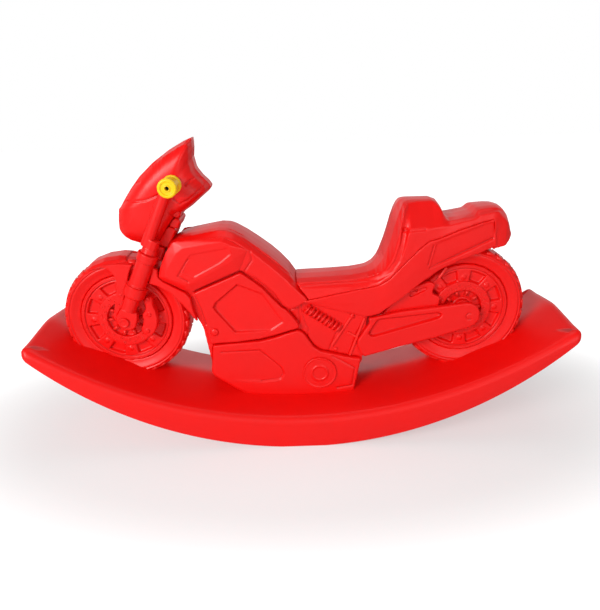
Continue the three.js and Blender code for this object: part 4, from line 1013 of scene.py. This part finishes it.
# The studio: white paper that glows up to pure white away from the toy and at about half of that close to
# it, where its shadow shows. A broad soft lamp stands at the front left, a weaker one at the front right
# and a faint one above. Only reflections see the pale wall behind the toy.
PAPER = "#F4F4F4"
PAPER_SEEN = "#BCBCBC"
PAPER_CORNERS = [(-6, -6, 0), (6, -6, 0), (6, 6, 0), (-6, 6, 0)]
PAPER_NEAR_GLOW = 0.46
PAPER_FAR_GLOW = 1.0
GLOW_OVAL = (0.8, 1.5, 0.0)
GLOW_FROM = 0.42
GLOW_TO = 0.82
STUDIO_WHITE = "#FFFFFF"
FILL_LIGHT = 0.31
BACKDROP_LOW = 0.84
BACKDROP_FRONT = 0.40
BACKDROP_HIGH = 0.10
BACKDROP_DEPTH = (-0.2, 0.5)
BACKDROP_TOP = (0.5, 0.68)
LAMP_AIM = Vector((0, 0, 0.25))
LAMPS = {"key_box": ((-1.8, -2.4, 1.6), 1.3, 70), "front_box": ((1.2, -2.8, 1.0), 1.6, 17),
         "top_box": ((0.2, 0.4, 2.6), 1.6, 9)}

floor_mesh = bpy.data.meshes.new("paper floor")
floor_mesh.from_pydata(PAPER_CORNERS, [], [(0, 1, 2, 3)])
floor = bpy.data.objects.new("paper_floor", floor_mesh)
scene.collection.objects.link(floor)
white_paper = empty_material("white paper")
paper = white_paper.node_tree
paper_ray = add(paper, "ShaderNodeLightPath")
paper_place = add(paper, "ShaderNodeTexCoord")
oval = add(paper, "ShaderNodeVectorMath", {0: paper_place.outputs["Object"], 1: GLOW_OVAL},
           operation="MULTIPLY")
away = add(paper, "ShaderNodeVectorMath", {0: oval.outputs[0]}, operation="LENGTH")
glow = add(paper, "ShaderNodeMapRange",
           {"Value": away.outputs["Value"], "From Min": GLOW_FROM, "From Max": GLOW_TO,
            "To Min": PAPER_NEAR_GLOW, "To Max": PAPER_FAR_GLOW}, interpolation_type="SMOOTHSTEP")
sheet = add(paper, "ShaderNodeBsdfDiffuse", {"Color": linear(PAPER)})
seen_sheet = add(paper, "ShaderNodeBsdfDiffuse", {"Color": linear(PAPER_SEEN)})
lift = add(paper, "ShaderNodeEmission", {"Strength": glow.outputs[0]})
both = add(paper, "ShaderNodeAddShader", {0: seen_sheet.outputs[0], 1: lift.outputs[0]})
seen = add(paper, "ShaderNodeMixShader",
           {0: paper_ray.outputs["Is Camera Ray"], 1: sheet.outputs[0], 2: both.outputs[0]})
mirrored_paper = add(paper, "ShaderNodeMixShader",
                     {0: paper_ray.outputs["Is Glossy Ray"], 1: seen.outputs[0], 2: seen_sheet.outputs[0]})
add(paper, "ShaderNodeOutputMaterial", {"Surface": mirrored_paper.outputs[0]})
floor_mesh.materials.append(white_paper)

world = bpy.data.worlds.new("studio")
scene.world = world
world.use_nodes = True
studio = world.node_tree
studio.nodes.clear()
ray = add(studio, "ShaderNodeLightPath")
way_out = add(studio, "ShaderNodeTexCoord").outputs["Generated"]
direction = add(studio, "ShaderNodeSeparateXYZ", {0: way_out})
behind = add(studio, "ShaderNodeMapRange",
             {"Value": direction.outputs["Y"], "From Min": BACKDROP_DEPTH[0], "From Max": BACKDROP_DEPTH[1],
              "To Min": BACKDROP_FRONT, "To Max": BACKDROP_LOW}, interpolation_type="SMOOTHSTEP")
backdrop = add(studio, "ShaderNodeMapRange",
               {"Value": direction.outputs["Z"], "From Min": BACKDROP_TOP[0], "From Max": BACKDROP_TOP[1],
                "To Min": behind.outputs[0], "To Max": BACKDROP_HIGH}, interpolation_type="SMOOTHSTEP")
white, fill, reflected = (
    add(studio, "ShaderNodeBackground", {"Color": linear(STUDIO_WHITE), "Strength": strength})
    for strength in (1.0, FILL_LIGHT, backdrop.outputs[0]))
lit = add(studio, "ShaderNodeMixShader",
          {0: ray.outputs["Is Glossy Ray"], 1: fill.outputs[0], 2: reflected.outputs[0]})
mixed = add(studio, "ShaderNodeMixShader",
            {0: ray.outputs["Is Camera Ray"], 1: lit.outputs[0], 2: white.outputs[0]})
add(studio, "ShaderNodeOutputWorld", {"Surface": mixed.outputs[0]})

for name, (place, size, power) in LAMPS.items():
    box = bpy.data.lights.new(name, "AREA")
    box.size = size
    box.energy = power
    lamp = bpy.data.objects.new(name, box)
    aim = (LAMP_AIM - Vector(place)).to_track_quat("-Z", "Y")
    lamp.matrix_world = Matrix.Translation(place) @ aim.to_matrix().to_4x4()
    scene.collection.objects.link(lamp)

scene.view_settings.view_transform = "Standard"
